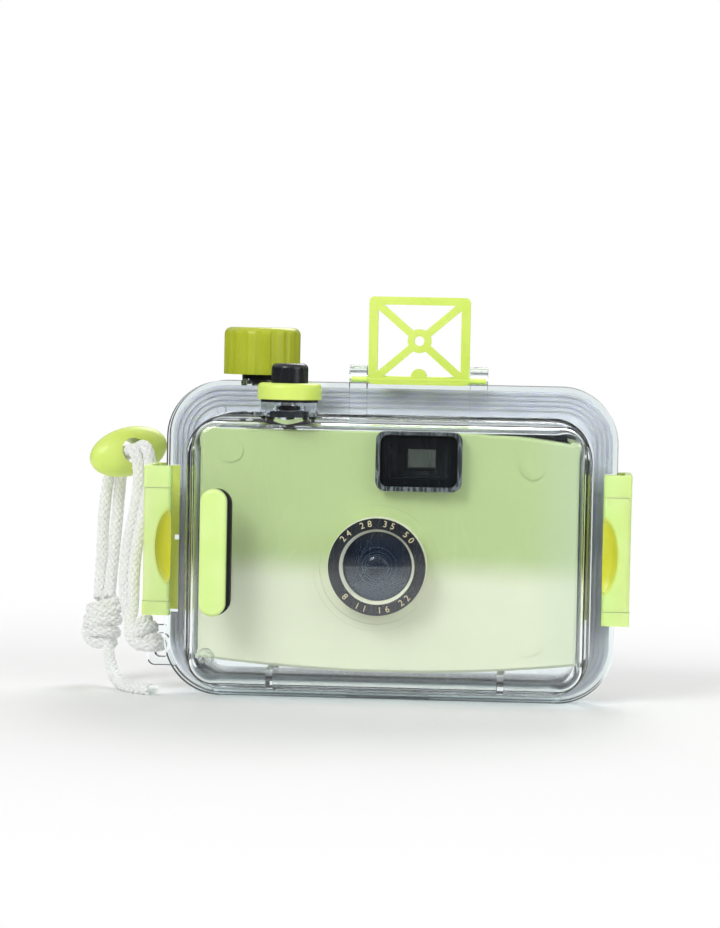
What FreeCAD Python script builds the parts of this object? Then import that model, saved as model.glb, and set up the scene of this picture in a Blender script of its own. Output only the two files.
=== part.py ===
import FreeCAD, Part
import math
import os
from types import SimpleNamespace

import Sketcher

# Underwater film camera: an inner 35 mm camera in a clear two-shell dive housing.
# Frame: +Z up, the front looks along -Y, the shells meet at y = 0, and the housing
# stands on the lower edge of its flange at z = 0, centred on x = 0.

SIZES = {
    # housing shells
    "flange_reach": 7.5,
    "flange_height": 91.7,
    "flange_corner": 16.5,
    "flange_thick": 4.8,
    "gasket_thick": 2.4,
    "lip_width": 24.0,
    "lip_height": 1.0,
    "lip_gap": 0.3,
    "gasket_margin": 1.4,
    "gasket_overlap": 0.56,
    "gasket_rib_inset": 0.6,
    "gasket_waist": 3.6,
    "gasket_rib_width": 0.7,
    "gasket_rib_pitch": 1.45,
    "gasket_rib_height": 0.6,
    "case_bottom": 3.4,
    "case_top": 82.2,
    "case_corner": 11.5,
    "case_inner_corner": 7.0,
    "case_front": 25.0,
    "case_rear": 22.0,
    "case_wall": 2.3,
    "case_round": 4.0,
    "port_outer": 35.8,
    "port_inner": 32.1,
    "port_height": 0.8,
    "peg_radius": 1.3,
    "peg_inset": 8.5,
    "peg_length": 3.2,
    "corner_post_radius": 2.6,
    "corner_post_hole": 1.0,
    "corner_post_inset": 2.4,
    "rest_rib_place": 35.0,
    "rest_rib_width": 2.0,
    "rear_window_width": 22.0,
    "rear_window_height": 16.0,
    "rear_window_thick": 1.6,
    # eyelet for the wrist strap
    "lug_reach": 5.7,
    "lug_bottom": 7.4,
    "lug_height": 11.8,
    "lug_thick": 3.6,
    "lug_rim": 2.0,
    "lug_bar": 2.4,
    "lug_inset": 0.6,
    # small clearances
    "fit_gap": 0.1,
    "run_gap": 0.05,
    "move_gap": 0.3,
    # lens and finder axes
    "lens_place": -2.8,
    "lens_level": 39.7,
    "finder_place": 8.5,
    "finder_level": 70.0,
    # shutter button on the housing
    "button_place": -29.2,
    "button_depth": 15.4,
    "button_boss_wall": 1.6,
    "button_boss_top": 86.1,
    "button_web": 2.3,
    "button_travel": 1.6,
    "stem_radius": 2.0,
    "stem_seal_radius": 0.62,
    "collar_reach": 1.0,
    "collar_height": 4.7,
    "collar_round": 1.4,
    "collar_seal_thick": 0.8,
    "cap_radius": 5.3,
    "cap_rise": 5.6,
    "cap_wall": 0.8,
    "cap_round": 1.5,
    "head_thick": 1.6,
    "spring_radius": 3.1,
    "spring_wire": 0.3,
    "spring_turns": 4.0,
    "foot_reach": 0.7,
    "foot_clear": 1.0,
    "foot_thick": 1.6,
    "finger_radius": 1.3,
    "release_radius": 2.0,
    "release_rise": 1.2,
    "release_length": 7.0,
    # wind knob and its drive
    "knob_inset": 15.2,
    "knob_depth": 8.0,
    "knob_radius": 11.2,
    "knob_height": 13.8,
    "knob_flutes": 16.0,
    "knob_flute_radius": 2.2,
    "knob_flute_depth": 0.4,
    "knob_round": 2.2,
    "knob_dish_radius": 8.0,
    "knob_dish_depth": 0.8,
    "knob_boss_radius": 5.8,
    "knob_boss_top": 92.2,
    "knob_washer_thick": 1.2,
    "shaft_radius": 2.5,
    "shaft_seal_radius": 0.75,
    "clip_radius": 4.2,
    "clip_thick": 0.7,
    "drive_module": 0.8,
    "drive_pinion_teeth": 12.0,
    "drive_wheel_teeth": 14.0,
    "drive_level": 69.4,
    "drive_thick": 4.2,
    "spool_module": 0.65,
    "sprocket_gear_teeth": 16.0,
    "spool_gear_teeth": 26.0,
    "spool_gear_level": 62.2,
    "spool_gear_thick": 2.0,
    "sprocket_depth": 7.0,
    # sight frame
    "sight_place": 7.6,
    "sight_depth": 9.0,
    "sight_axis": 93.0,
    "sight_bottom": 91.6,
    "sight_width": 29.2,
    "sight_height": 25.3,
    "sight_thick": 2.0,
    "sight_side": 2.6,
    "sight_rail": 2.3,
    "sight_cross": 2.2,
    "sight_ring": 3.45,
    "sight_hole": 1.4,
    "sight_nub": 2.35,
    "sight_corner": 1.5,
    "sight_stub": 1.1,
    "ear_width": 5.0,
    "ear_radius": 3.0,
    "ear_top": 97.0,
    # finger bar
    "grip_inset": 9.0,
    "grip_level": 43.3,
    "grip_width": 7.6,
    "grip_length": 36.3,
    "grip_thick": 3.0,
    "grip_pad_width": 8.8,
    "grip_pad_length": 36.0,
    "grip_pad_thick": 3.4,
    # side latches
    "latch_reach_left": 5.9,
    "latch_reach_right": 4.1,
    "latch_bottom": 23.5,
    "latch_top": 66.8,
    "lever_bottom": 27.5,
    "lever_top": 60.5,
    "latch_width": 8.1,
    "latch_plate": 1.9,
    "latch_front": 12.8,
    "latch_block": 3.4,
    "barrel_radius": 2.1,
    "pin_radius": 0.9,
    "rear_pin_depth": 8.0,
    "front_pin_depth": 10.8,
    "cam_offset": 6.0,
    "cam_width": 1.3,
    "cam_gap": 0.25,
    "scoop_width": 4.6,
    "scoop_height": 11.0,
    "scoop_depth": 3.2,
    "strip_thick": 2.0,
    "strip_gap": 0.9,
    "strip_margin": 0.4,
    "strip_hole": 1.5,
    "strip_hole_inset": 1.8,
    "base_knuckle": 28.2,
    # inner camera
    "camera_width": 109.2,
    "camera_gap": 1.1,
    "camera_bottom": 8.8,
    "camera_top": 78.5,
    "camera_front": 14.5,
    "camera_corner": 3.6,
    "camera_bow": 3.2,
    "cover_slope": 3.4,
    "cover_slope_start": 12.0,
    "cover_thick": 1.8,
    "cover_depth": 9.5,
    "cover_bevel": 0.8,
    "cover_hole": 12.0,
    "cover_mark_radius": 3.5,
    "cover_mark_height": 0.3,
    "mark_left_inset": 8.8,
    "mark_left_drop": 6.5,
    "mark_right_inset": 13.5,
    "mark_right_drop": 9.7,
    "mark_low_rise": 9.4,
    "chassis_back": 13.4,
    "door_thick": 2.0,
    "door_top": 65.0,
    "chamber_bottom": 14.4,
    "cassette_wall": 3.4,
    "cassette_width": 26.0,
    "cassette_depth": 24.4,
    "take_up_width": 22.0,
    "gate_width": 36.0,
    "gate_height": 24.0,
    "channel_depth": 1.9,
    "channel_height": 37.4,
    "plate_thick": 0.9,
    "hinge_radius": 1.9,
    "hinge_pin": 0.8,
    "hinge_bottom": 15.0,
    "hinge_top": 62.0,
    "latch_slide_travel": 3.0,
    "latch_slide_length": 14.0,
    "latch_slide_bottom": 30.0,
    "latch_slide_place": 9.0,
    "latch_slide_width": 6.4,
    "latch_slide_depth": 1.2,
    "latch_slide_reach": 0.7,
    "thumb_width": 4.0,
    "thumb_margin": 4.0,
    "screw_shank": 0.9,
    "screw_head": 1.8,
    "screw_head_thick": 0.7,
    "screw_length": 8.0,
    "screw_level": 71.6,
    "screw_inset": 4.6,
    "screw_land": 0.7,
    # lens group
    "ring_radius": 13.95,
    "ring_front": 21.9,
    "ring_thick": 1.2,
    "ring_mouth": 10.8,
    "barrel_tube": 14.1,
    "barrel_mouth": 10.7,
    "barrel_neck": 11.8,
    "lens_radius": 9.9,
    "lens_curve": 48.0,
    "lens_front": 19.4,
    "lens_edge": 18.4,
    "lens_back": 16.6,
    "lens_bore": 9.2,
    "shutter_front": 14.9,
    "shutter_thick": 1.4,
    "shutter_ridge": 0.35,
    "shutter_ridge_rise": 0.9,
    "aperture_radius": 1.9,
    "blade_radius": 2.6,
    "blade_thick": 0.5,
    "blade_reach_side": 6.0,
    "blade_reach_up": 3.0,
    "blade_pin": 0.8,
    "rear_lens_radius": 4.5,
    "rear_lens_front": 9.8,
    "rear_lens_thick": 1.8,
    # viewfinder
    "bezel_width": 24.8,
    "bezel_height": 17.4,
    "bezel_corner": 3.0,
    "bezel_front": 18.4,
    "finder_width": 22.2,
    "finder_height": 14.8,
    "finder_corner": 2.2,
    "mask_width": 19.8,
    "mask_height": 12.6,
    "mask_corner": 1.6,
    "mask_step": 12.4,
    "mask_step_width": 13.2,
    "mask_step_height": 8.6,
    "window_thick": 1.0,
    "mask_back": 8.4,
    "mask_wall": 1.2,
    "tunnel_width": 9.0,
    "tunnel_height": 6.2,
    "eyepiece_rim": 1.0,
    "eyepiece_thick": 1.4,
    # film transport
    "sprocket_radius": 4.2,
    "sprocket_teeth": 8.0,
    "sprocket_tooth": 0.7,
    "sprocket_bottom": 22.0,
    "sprocket_top": 57.6,
    "axle_radius": 1.5,
    "spool_radius": 5.4,
    "spool_slot": 1.2,
    "dial_place": -11.0,
    "dial_depth": 2.0,
    "dial_radius": 7.0,
    "dial_thick": 0.9,
    "rewind_radius": 5.8,
    "rewind_thick": 1.8,
    "crank_width": 3.2,
    "rewind_shaft": 2.0,
    "fork_length": 6.0,
    # foam pads
    "pad_place": 40.0,
    "pad_width": 12.0,
    "pad_height": 34.0,
    # strap float, cord and knots
    "float_length": 24.8,
    "float_height": 14.6,
    "float_thick": 11.6,
    "float_hole": 3.8,
    "cord_radius": 1.6,
    "cord_gap": 0.12,
    "end_knot_width": 12.4,
    "end_knot_depth": 12.0,
    "end_knot_height": 17.0,
    "hitch_width": 9.6,
    "hitch_depth": 9.0,
    "hitch_height": 9.0,
}

doc = FreeCAD.newDocument("underwater_camera")
sheet = doc.addObject("Spreadsheet::Sheet", "Dims")


class Dim(float):
    """A size in millimetres that also carries its expression in the sheet."""

    def __new__(cls, value, text):
        made = super().__new__(cls, value)
        made.text = text
        return made

    def combined(self, other, sign, swapped=False):
        first, second = (other, self) if swapped else (self, other)
        left, right = float(first), float(second)
        if sign == "+":
            value = left + right
        elif sign == "-":
            value = left - right
        elif sign == "*":
            value = left * right
        else:
            value = left / right
        return Dim(value, f"({text_of(first)} {sign} {text_of(second)})")

    def __add__(self, other):
        return self.combined(other, "+")

    def __radd__(self, other):
        return self.combined(other, "+", swapped=True)

    def __sub__(self, other):
        return self.combined(other, "-")

    def __rsub__(self, other):
        return self.combined(other, "-", swapped=True)

    def __mul__(self, other):
        return self.combined(other, "*")

    def __rmul__(self, other):
        return self.combined(other, "*", swapped=True)

    def __truediv__(self, other):
        return self.combined(other, "/")

    def __rtruediv__(self, other):
        return self.combined(other, "/", swapped=True)

    def __neg__(self):
        return self.combined(-1.0, "*")


def text_of(value):
    """Expression text of a size or a plain number."""
    return value.text if isinstance(value, Dim) else f"{float(value):.9g}"


def root(value):
    """Square root that keeps the expression."""
    return Dim(math.sqrt(value), f"sqrt({text_of(value)})")


def bind(item, path, size):
    """Drive one property of an object from the sheet."""
    item.setExpression(path, text_of(size))


for row, (alias, value) in enumerate(SIZES.items(), start=1):
    sheet.set(f"A{row}", alias.replace("_", " "))
    sheet.set(f"B{row}", str(value))
    sheet.setAlias(f"B{row}", alias)
doc.recompute()
d = SimpleNamespace(**{alias: Dim(value, f"Dims.{alias}") for alias, value in SIZES.items()})

NODES = {}


def node(name, item):
    """Name a finished piece; its label becomes its file name."""
    item.Label = name
    NODES[name] = item
    return item


class Outline:
    """Closed outline of lines and arcs whose points are held by sheet expressions."""

    def __init__(self, across, up):
        self.points = [(across, up)]
        self.edges = []

    def line(self, across, up):
        self.points.append((across, up))
        self.edges.append(None)
        return self

    def arc(self, across, up, centre, turn=1):
        """Arc to a point about a centre; turn is 1 anticlockwise and -1 clockwise."""
        self.points.append((across, up))
        self.edges.append((centre, turn))
        return self

    def mirrored(self):
        """The same outline with its first coordinate reversed."""
        made = Outline(-self.points[0][0], self.points[0][1])
        for (across, up), edge in zip(self.points[1:], self.edges):
            if edge is None:
                made.line(-across, up)
            else:
                (centre_across, centre_up), turn = edge
                made.arc(-across, up, (-centre_across, centre_up), -turn)
        return made

    def draw(self, sketch):
        """Add the outline to a sketch, fully constrained."""
        first = len(sketch.Geometry)
        starts = []
        for index, edge in enumerate(self.edges):
            begin, finish = self.points[index], self.points[index + 1]
            if edge is None:
                shape = Part.LineSegment(FreeCAD.Vector(*begin, 0), FreeCAD.Vector(*finish, 0))
                geo = sketch.addGeometry(shape, False)
                starts.append((geo, 1, 2))
                continue
            centre, turn = edge
            radius = math.hypot(begin[0] - centre[0], begin[1] - centre[1])
            ends = (begin, finish) if turn > 0 else (finish, begin)
            angles = [math.atan2(p[1] - centre[1], p[0] - centre[0]) for p in ends]
            if angles[1] <= angles[0]:
                angles[1] += 2 * math.pi
            circle = Part.Circle(FreeCAD.Vector(*centre, 0), FreeCAD.Vector(0, 0, 1), radius)
            geo = sketch.addGeometry(Part.ArcOfCircle(circle, *angles), False)
            starts.append((geo, 1, 2) if turn > 0 else (geo, 2, 1))
            chord = (finish[0] - begin[0], finish[1] - begin[1])
            if abs(chord[1]) > abs(chord[0]):
                hold(sketch, "DistanceX", geo, 3, centre[0])
            else:
                hold(sketch, "DistanceY", geo, 3, centre[1])
        for index, (geo, start, _end) in enumerate(starts):
            before, _start, end = starts[index - 1]
            sketch.addConstraint(Sketcher.Constraint("Coincident", before, end, geo, start))
            hold(sketch, "DistanceX", geo, start, self.points[index][0])
            hold(sketch, "DistanceY", geo, start, self.points[index][1])
        return first


class Disc:
    """Round outline."""

    def __init__(self, across, up, radius):
        self.centre = (across, up)
        self.radius = radius

    def draw(self, sketch):
        circle = Part.Circle(FreeCAD.Vector(*self.centre, 0), FreeCAD.Vector(0, 0, 1), float(self.radius))
        geo = sketch.addGeometry(circle, False)
        hold(sketch, "DistanceX", geo, 3, self.centre[0])
        hold(sketch, "DistanceY", geo, 3, self.centre[1])
        index = sketch.addConstraint(Sketcher.Constraint("Radius", geo, float(self.radius)))
        bind(sketch, f"Constraints[{index}]", self.radius)


def hold(sketch, kind, geo, place, size):
    """Hold one coordinate of a sketch point from the sketch origin."""
    index = sketch.addConstraint(Sketcher.Constraint(kind, -1, 1, geo, place, float(size)))
    bind(sketch, f"Constraints[{index}]", size)


def rectangle(left, right, low, high, corner=None):
    """Rectangle, with rounded corners where a radius is given."""
    if corner is None:
        return Outline(left, low).line(right, low).line(right, high).line(left, high).line(left, low)
    made = Outline(left + corner, low)
    made.line(right - corner, low)
    made.arc(right, low + corner, (right - corner, low + corner))
    made.line(right, high - corner)
    made.arc(right - corner, high, (right - corner, high - corner))
    made.line(left + corner, high)
    made.arc(left, high - corner, (left + corner, high - corner))
    made.line(left, low + corner)
    made.arc(left + corner, low, (left + corner, low + corner))
    return made


def stadium(across, up, width, length):
    """Upright bar with round ends."""
    half = width / 2
    low, high = up - length / 2 + half, up + length / 2 - half
    made = Outline(across + half, low)
    made.line(across + half, high)
    made.arc(across - half, high, (across, high))
    made.line(across - half, low)
    made.arc(across + half, low, (across, low))
    return made


# Drawing planes: name of the origin plane and the sign of its normal along the world axis.
PLANES = {"front": ("XZ_Plane", -1), "side": ("YZ_Plane", 1), "top": ("XY_Plane", 1)}


def new_body(name):
    return doc.addObject("PartDesign::Body", name)


def new_sketch(body, plane, outlines, level):
    """Sketch parallel to an origin plane of the body, at a level along its world axis."""
    role, sign = PLANES[plane]
    sketch = body.newObject("Sketcher::SketchObject", f"{body.Name}_sketch")
    support = next(f for f in body.Origin.OriginFeatures if f.Role == role)
    sketch.AttachmentSupport = [(support, "")]
    sketch.MapMode = "FlatFace"
    bind(sketch, "AttachmentOffset.Base.z", level * sign)
    for outline in outlines:
        outline.draw(sketch)
    return sketch


def pad(body, plane, outlines, low, high):
    """Add material between two levels of the plane's world axis."""
    sign = PLANES[plane][1]
    sketch = new_sketch(body, plane, outlines, low if sign > 0 else high)
    feature = body.newObject("PartDesign::Pad", f"{body.Name}_pad")
    feature.Profile = sketch
    bind(feature, "Length", high - low)
    return feature


def pocket(body, plane, outlines, low, high):
    """Remove material between two levels of the plane's world axis."""
    sign = PLANES[plane][1]
    sketch = new_sketch(body, plane, outlines, high if sign > 0 else low)
    feature = body.newObject("PartDesign::Pocket", f"{body.Name}_pocket")
    feature.Profile = sketch
    bind(feature, "Length", high - low)
    return feature


def round_edges(body, radius, chosen):
    """Round the edges of the body so far for which chosen(edge) is true."""
    doc.recompute()
    tip = body.Tip
    names = [f"Edge{i}" for i, edge in enumerate(tip.Shape.Edges, start=1) if chosen(edge)]
    feature = body.newObject("PartDesign::Fillet", f"{body.Name}_round")
    feature.Base = (tip, names)
    bind(feature, "Radius", radius)
    return feature


def bevel_edges(body, size, chosen):
    """Bevel the edges of the body so far for which chosen(edge) is true."""
    doc.recompute()
    tip = body.Tip
    names = [f"Edge{i}" for i, edge in enumerate(tip.Shape.Edges, start=1) if chosen(edge)]
    feature = body.newObject("PartDesign::Chamfer", f"{body.Name}_bevel")
    feature.Base = (tip, names)
    bind(feature, "Size", size)
    return feature


def in_plane(axis, level):
    """Test for edges that lie wholly at one level of an axis."""

    def chosen(edge):
        box = edge.BoundBox
        low, high = getattr(box, f"{axis}Min"), getattr(box, f"{axis}Max")
        return abs(low - level) < 0.01 and abs(high - level) < 0.01

    return chosen


def around(body, feature, count):
    """Repeat a feature evenly about the body's own upright axis."""
    pattern = body.newObject("PartDesign::PolarPattern", f"{body.Name}_pattern")
    pattern.Originals = [feature]
    axis = next(f for f in body.Origin.OriginFeatures if f.Role == "Z_Axis")
    pattern.Axis = (axis, [""])
    pattern.Angle = 360
    bind(pattern, "Occurrences", count)
    body.Tip = pattern
    return pattern


def box(name, across, deep, up):
    """Box between three (low, high) pairs along x, y and z."""
    item = doc.addObject("Part::Box", name)
    for prop, axis, (low, high) in zip(("Length", "Width", "Height"), "xyz", (across, deep, up)):
        bind(item, prop, high - low)
        bind(item, f"Placement.Base.{axis}", low)
    return item


TURNS = {
    "x": FreeCAD.Rotation(FreeCAD.Vector(0, 1, 0), 90),
    "y": FreeCAD.Rotation(FreeCAD.Vector(1, 0, 0), -90),
    "z": FreeCAD.Rotation(),
}


def rod(name, axis, centre, radius, low, high):
    """Round bar along x, y or z; centre holds its other two coordinates in order."""
    item = doc.addObject("Part::Cylinder", name)
    item.Placement = FreeCAD.Placement(FreeCAD.Vector(), TURNS[axis])
    bind(item, "Radius", radius)
    bind(item, "Height", high - low)
    places = list(centre)
    places.insert("xyz".index(axis), low)
    for letter, place in zip("xyz", places):
        bind(item, f"Placement.Base.{letter}", place)
    return item


def joined(name, *items):
    """One solid from several that overlap or share faces."""
    item = doc.addObject("Part::MultiFuse", name)
    item.Shapes = list(items)
    item.Refine = True
    return item


def less(name, base, *tools):
    """A solid with others taken away, one after the other."""
    item = base
    for number, tool in enumerate(tools, start=1):
        last = number == len(tools)
        cut = doc.addObject("Part::Cut", name if last else f"{name}_step_{number}")
        cut.Base = item
        cut.Tool = tool
        item = cut
    return item


def tube(name, axis, centre, outer, inner, low, high):
    """Round sleeve."""
    outside = rod(f"{name}_outside", axis, centre, outer, low, high)
    inside = rod(f"{name}_inside", axis, centre, inner, low - 1, high + 1)
    return less(name, outside, inside)


def ring_seal(name, centre, level, radius, section):
    """Round-section ring about an upright axis."""
    item = doc.addObject("Part::Torus", name)
    bind(item, "Radius1", radius)
    bind(item, "Radius2", section)
    for letter, place in zip("xyz", (*centre, level)):
        bind(item, f"Placement.Base.{letter}", place)
    return item


def stand_at(body, across, deep, turn=0.0):
    """Move a body drawn about its own upright axis to that axis."""
    body.Placement = FreeCAD.Placement(FreeCAD.Vector(), FreeCAD.Rotation(FreeCAD.Vector(0, 0, 1), turn))
    bind(body, "Placement.Base.x", across)
    bind(body, "Placement.Base.y", deep)


# Levels and places that several pieces share
half_gap = d.gasket_thick / 2
flange_front = half_gap + d.flange_thick
camera_half = d.camera_width / 2
case_half = camera_half + d.camera_gap + d.case_wall
flange_half = case_half + d.flange_reach
knob_place = -camera_half + d.knob_inset
cassette_place = camera_half - d.cassette_wall - d.cassette_width / 2
grip_place = -case_half + d.grip_inset
ceiling = d.case_top - d.case_wall
cover_back = d.camera_front - d.cover_depth
chassis_front = d.camera_front - d.cover_thick - d.fit_gap
door_back = d.chassis_back + d.door_thick
top_section = d.door_top + 4 * d.fit_gap
web_bottom = d.button_boss_top - d.button_web
collar_bottom = d.button_boss_top + d.collar_seal_thick
collar_top = collar_bottom + d.collar_height
cap_top = collar_top + d.cap_rise
foot_top = web_bottom - 4 * d.fit_gap
foot_bottom = foot_top - d.foot_thick
release_place = -chassis_front + d.release_radius + d.fit_gap
foot_radius = release_place + d.button_depth + d.foot_reach
button_bore_radius = foot_radius + d.foot_clear
button_boss_radius = button_bore_radius + d.button_boss_wall
collar_radius = button_boss_radius + d.collar_reach
release_top = d.camera_top + d.release_rise
head_top = cap_top - d.cap_wall - d.fit_gap
head_bottom = head_top - d.head_thick
knob_bottom = d.knob_boss_top + d.knob_washer_thick + d.fit_gap
pinion_pitch = d.drive_module * d.drive_pinion_teeth / 2
wheel_pitch = d.drive_module * d.drive_wheel_teeth / 2
sprocket_pitch = d.spool_module * d.sprocket_gear_teeth / 2
spool_pitch = d.spool_module * d.spool_gear_teeth / 2
spool_place = knob_place
spool_depth = d.knob_depth - pinion_pitch - wheel_pitch
gear_distance = sprocket_pitch + spool_pitch
gear_offset = d.sprocket_depth - spool_depth
gear_step = root(gear_distance * gear_distance - gear_offset * gear_offset)
sprocket_place = spool_place + gear_step
drive_top = d.drive_level + d.drive_thick
notch_floor = d.drive_level - 2 * d.move_gap
gate_left = d.lens_place - d.gate_width / 2
gate_right = d.lens_place + d.gate_width / 2
film_plane = d.chassis_back - d.channel_depth
cassette_low = cassette_place - d.cassette_width / 2
cassette_high = cassette_place + d.cassette_width / 2
cassette_axis = d.chassis_back - d.cassette_depth / 2
hinge_across = camera_half - d.hinge_radius - d.fit_gap
hinge_deep = door_back - d.hinge_radius + 4 * d.fit_gap
screw_places = (-camera_half + d.screw_inset, cassette_low - d.screw_land, camera_half - d.screw_inset)


def case_outline(inset, corner=None):
    """Outline of the housing's bulge, drawn in by an inset."""
    return rectangle(
        -case_half + inset,
        case_half - inset,
        d.case_bottom + inset,
        d.case_top - inset,
        corner if corner is not None else d.case_corner - inset,
    )


def flange_outline(inset):
    """Outline of the housing's flange, drawn in by an inset."""
    half = flange_half - inset
    return rectangle(-half, half, 0.0 + inset, d.flange_height - inset, d.flange_corner - inset)


def camera_outline(inset, top, sloped):
    """Camera seen from the front: bowed bottom, and a top edge that can fall away to the right."""
    half = camera_half - inset
    low = d.camera_bottom + inset
    bow_radius = (half * half + d.camera_bow * d.camera_bow) / (2 * d.camera_bow)
    side_low = low + d.camera_bow
    corner = d.camera_corner - inset / 2
    made = Outline(-half, side_low)
    made.arc(half, side_low, (0.0 * half, low + bow_radius))
    if sloped:
        run = half - d.cover_slope_start
        slope_radius = (run * run + d.cover_slope * d.cover_slope) / (2 * d.cover_slope)
        made.line(half, top - d.cover_slope)
        made.arc(d.cover_slope_start, top, (d.cover_slope_start, top - slope_radius))
    else:
        made.line(half, top - corner)
        made.arc(half - corner, top, (half - corner, top - corner))
    made.line(-half + corner, top)
    made.arc(-half, top - corner, (-half + corner, top - corner))
    made.line(-half, side_low)
    return made


def build_front_shell():
    """Clear front shell: bulge with lens port ring, shutter boss, sight ears, pegs and strap-side post."""
    body = new_body("front_shell")
    pad(body, "front", [flange_outline(0.0)], -flange_front, -half_gap)
    pad(body, "front", [case_outline(0.0)], -d.case_front, -half_gap)
    round_edges(body, d.case_round, in_plane("Y", -float(d.case_front)))
    cavity = case_outline(d.case_wall, d.case_inner_corner)
    pocket(body, "front", [cavity], -d.case_front + d.case_wall, -half_gap)
    round_edges(body, d.case_wall - 4 * d.fit_gap, in_plane("Y", -float(d.case_front - d.case_wall)))
    port = [Disc(d.lens_place, d.lens_level, across / 2) for across in (d.port_outer, d.port_inner)]
    pad(body, "front", port, -d.case_front - d.port_height, -d.case_front + d.case_wall / 2)
    boss = [Disc(d.button_place, -d.button_depth, button_boss_radius)]
    pad(body, "top", boss, ceiling, d.button_boss_top)
    for side in (-1, 1):
        inner = d.sight_place + side * (d.sight_width / 2 + d.move_gap)
        outer = inner + side * d.ear_width
        low, high = (outer, inner) if side < 0 else (inner, outer)
        shoulder = d.ear_top - d.ear_radius
        ear = Outline(-d.sight_depth - d.ear_radius, ceiling + d.case_wall / 2)
        ear.line(-d.sight_depth + d.ear_radius, ceiling + d.case_wall / 2)
        ear.line(-d.sight_depth + d.ear_radius, shoulder)
        ear.arc(-d.sight_depth - d.ear_radius, shoulder, (-d.sight_depth, shoulder))
        ear.line(-d.sight_depth - d.ear_radius, ceiling + d.case_wall / 2)
        pad(body, "side", [ear], low, high)
    for side in (-1, 1):
        for level in (d.case_bottom - 1.0, d.case_top + 1.0):
            peg = Disc(side * (case_half - d.peg_inset), level, d.peg_radius)
            pad(body, "front", [peg], -flange_front - d.peg_length, -flange_front + 1.0)
    post_across = -camera_half + d.corner_post_inset
    post_level = d.camera_bottom + d.camera_bow
    post = [
        Disc(post_across, post_level, d.corner_post_radius),
        Disc(post_across, post_level, d.corner_post_hole),
    ]
    pad(body, "front", post, -d.case_front + d.case_wall / 2, -d.camera_front - 2 * d.fit_gap)
    rib_share = d.rest_rib_place / camera_half
    rib_top = d.camera_bottom + d.camera_bow * rib_share * rib_share - d.fit_gap
    for side in (-1, 1):
        middle = side * (d.rest_rib_place - d.rest_rib_width)
        rib_half = d.rest_rib_width / 2
        rib = rectangle(middle - rib_half, middle + rib_half, d.case_bottom + d.case_wall / 2, rib_top - 0.2)
        pad(body, "front", [rib], -d.case_front + d.case_wall / 2, -half_gap)
    bore = [Disc(d.button_place, -d.button_depth, button_bore_radius)]
    pocket(body, "top", bore, ceiling - d.case_wall / 2, web_bottom)
    seal = [Disc(d.button_place, -d.button_depth, d.stem_radius + 2 * d.stem_seal_radius + d.run_gap)]
    pocket(body, "top", seal, web_bottom, web_bottom + 2 * d.stem_seal_radius + d.run_gap)
    hole = [Disc(d.button_place, -d.button_depth, d.stem_radius + d.run_gap)]
    pocket(body, "top", hole, web_bottom, d.button_boss_top)
    pivot = [Disc(-d.sight_depth, d.sight_axis, d.sight_stub + d.run_gap)]
    reach = d.sight_width / 2 + d.move_gap + d.ear_width
    pocket(body, "side", pivot, d.sight_place - reach, d.sight_place + reach)
    lip = rectangle(-d.lip_width / 2, d.lip_width / 2, 0.0, d.lip_height)
    pad(body, "front", [lip], -half_gap - 1.0, half_gap - d.lip_gap)
    node("front_shell", body)


def build_rear_shell():
    """Clear rear shell: bulge, knob boss, eyepiece window and the strap eyelet."""
    body = new_body("rear_shell")
    pad(body, "front", [flange_outline(0.0)], half_gap, flange_front)
    pad(body, "front", [case_outline(0.0)], half_gap, d.case_rear)
    round_edges(body, d.case_round, in_plane("Y", float(d.case_rear)))
    cavity = case_outline(d.case_wall, d.case_inner_corner)
    pocket(body, "front", [cavity], half_gap, d.case_rear - d.case_wall)
    boss = [Disc(knob_place, d.knob_depth, d.knob_boss_radius)]
    pad(body, "top", boss, ceiling, d.knob_boss_top)
    window = rectangle(
        d.finder_place - d.rear_window_width / 2,
        d.finder_place + d.rear_window_width / 2,
        d.finder_level - d.rear_window_height / 2,
        d.finder_level + d.rear_window_height / 2,
        d.finder_corner,
    )
    pad(body, "front", [window], d.case_rear - d.case_wall / 2, d.case_rear + d.rear_window_thick)
    lug = rectangle(
        -flange_half - d.lug_reach,
        -flange_half + 2 * d.lug_rim,
        d.lug_bottom,
        d.lug_bottom + d.lug_height,
        d.lug_rim,
    )
    lug_low = half_gap + (d.flange_thick - d.lug_thick) / 2
    pad(body, "front", [lug], lug_low, lug_low + d.lug_thick)
    eye = rectangle(
        -flange_half - d.lug_reach + d.lug_rim,
        -flange_half + d.lug_inset,
        d.lug_bottom + d.lug_bar,
        d.lug_bottom + d.lug_height - d.lug_bar,
        d.cord_radius,
    )
    pocket(body, "front", [eye], half_gap, flange_front)
    bore = [Disc(knob_place, d.knob_depth, d.shaft_radius + d.run_gap)]
    pocket(body, "top", bore, ceiling - 0.5, d.knob_boss_top)
    seat_radius = d.shaft_radius + 2 * d.shaft_seal_radius + 2 * d.run_gap
    seat = [Disc(knob_place, d.knob_depth, seat_radius)]
    pocket(body, "top", seat, d.knob_boss_top - 2 * d.shaft_seal_radius - d.run_gap, d.knob_boss_top)
    node("rear_shell", body)


def build_gasket():
    """Soft gasket between the flanges, with ribs that press on the front flange."""
    body = new_body("gasket")
    back = half_gap
    face = -half_gap + d.gasket_rib_height
    inset = d.gasket_margin
    ring = [flange_outline(inset), case_outline(-d.gasket_overlap)]
    pad(body, "front", ring, face, back)
    rib_inset = inset + d.gasket_rib_inset
    for number in range(4):
        outer = rib_inset + number * d.gasket_rib_pitch
        rib = [flange_outline(outer), flange_outline(outer + d.gasket_rib_width)]
        tidy = new_body(f"gasket_rib_{number}")
        pad(tidy, "front", rib, -half_gap, face)
        yield tidy
    yield body


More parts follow.
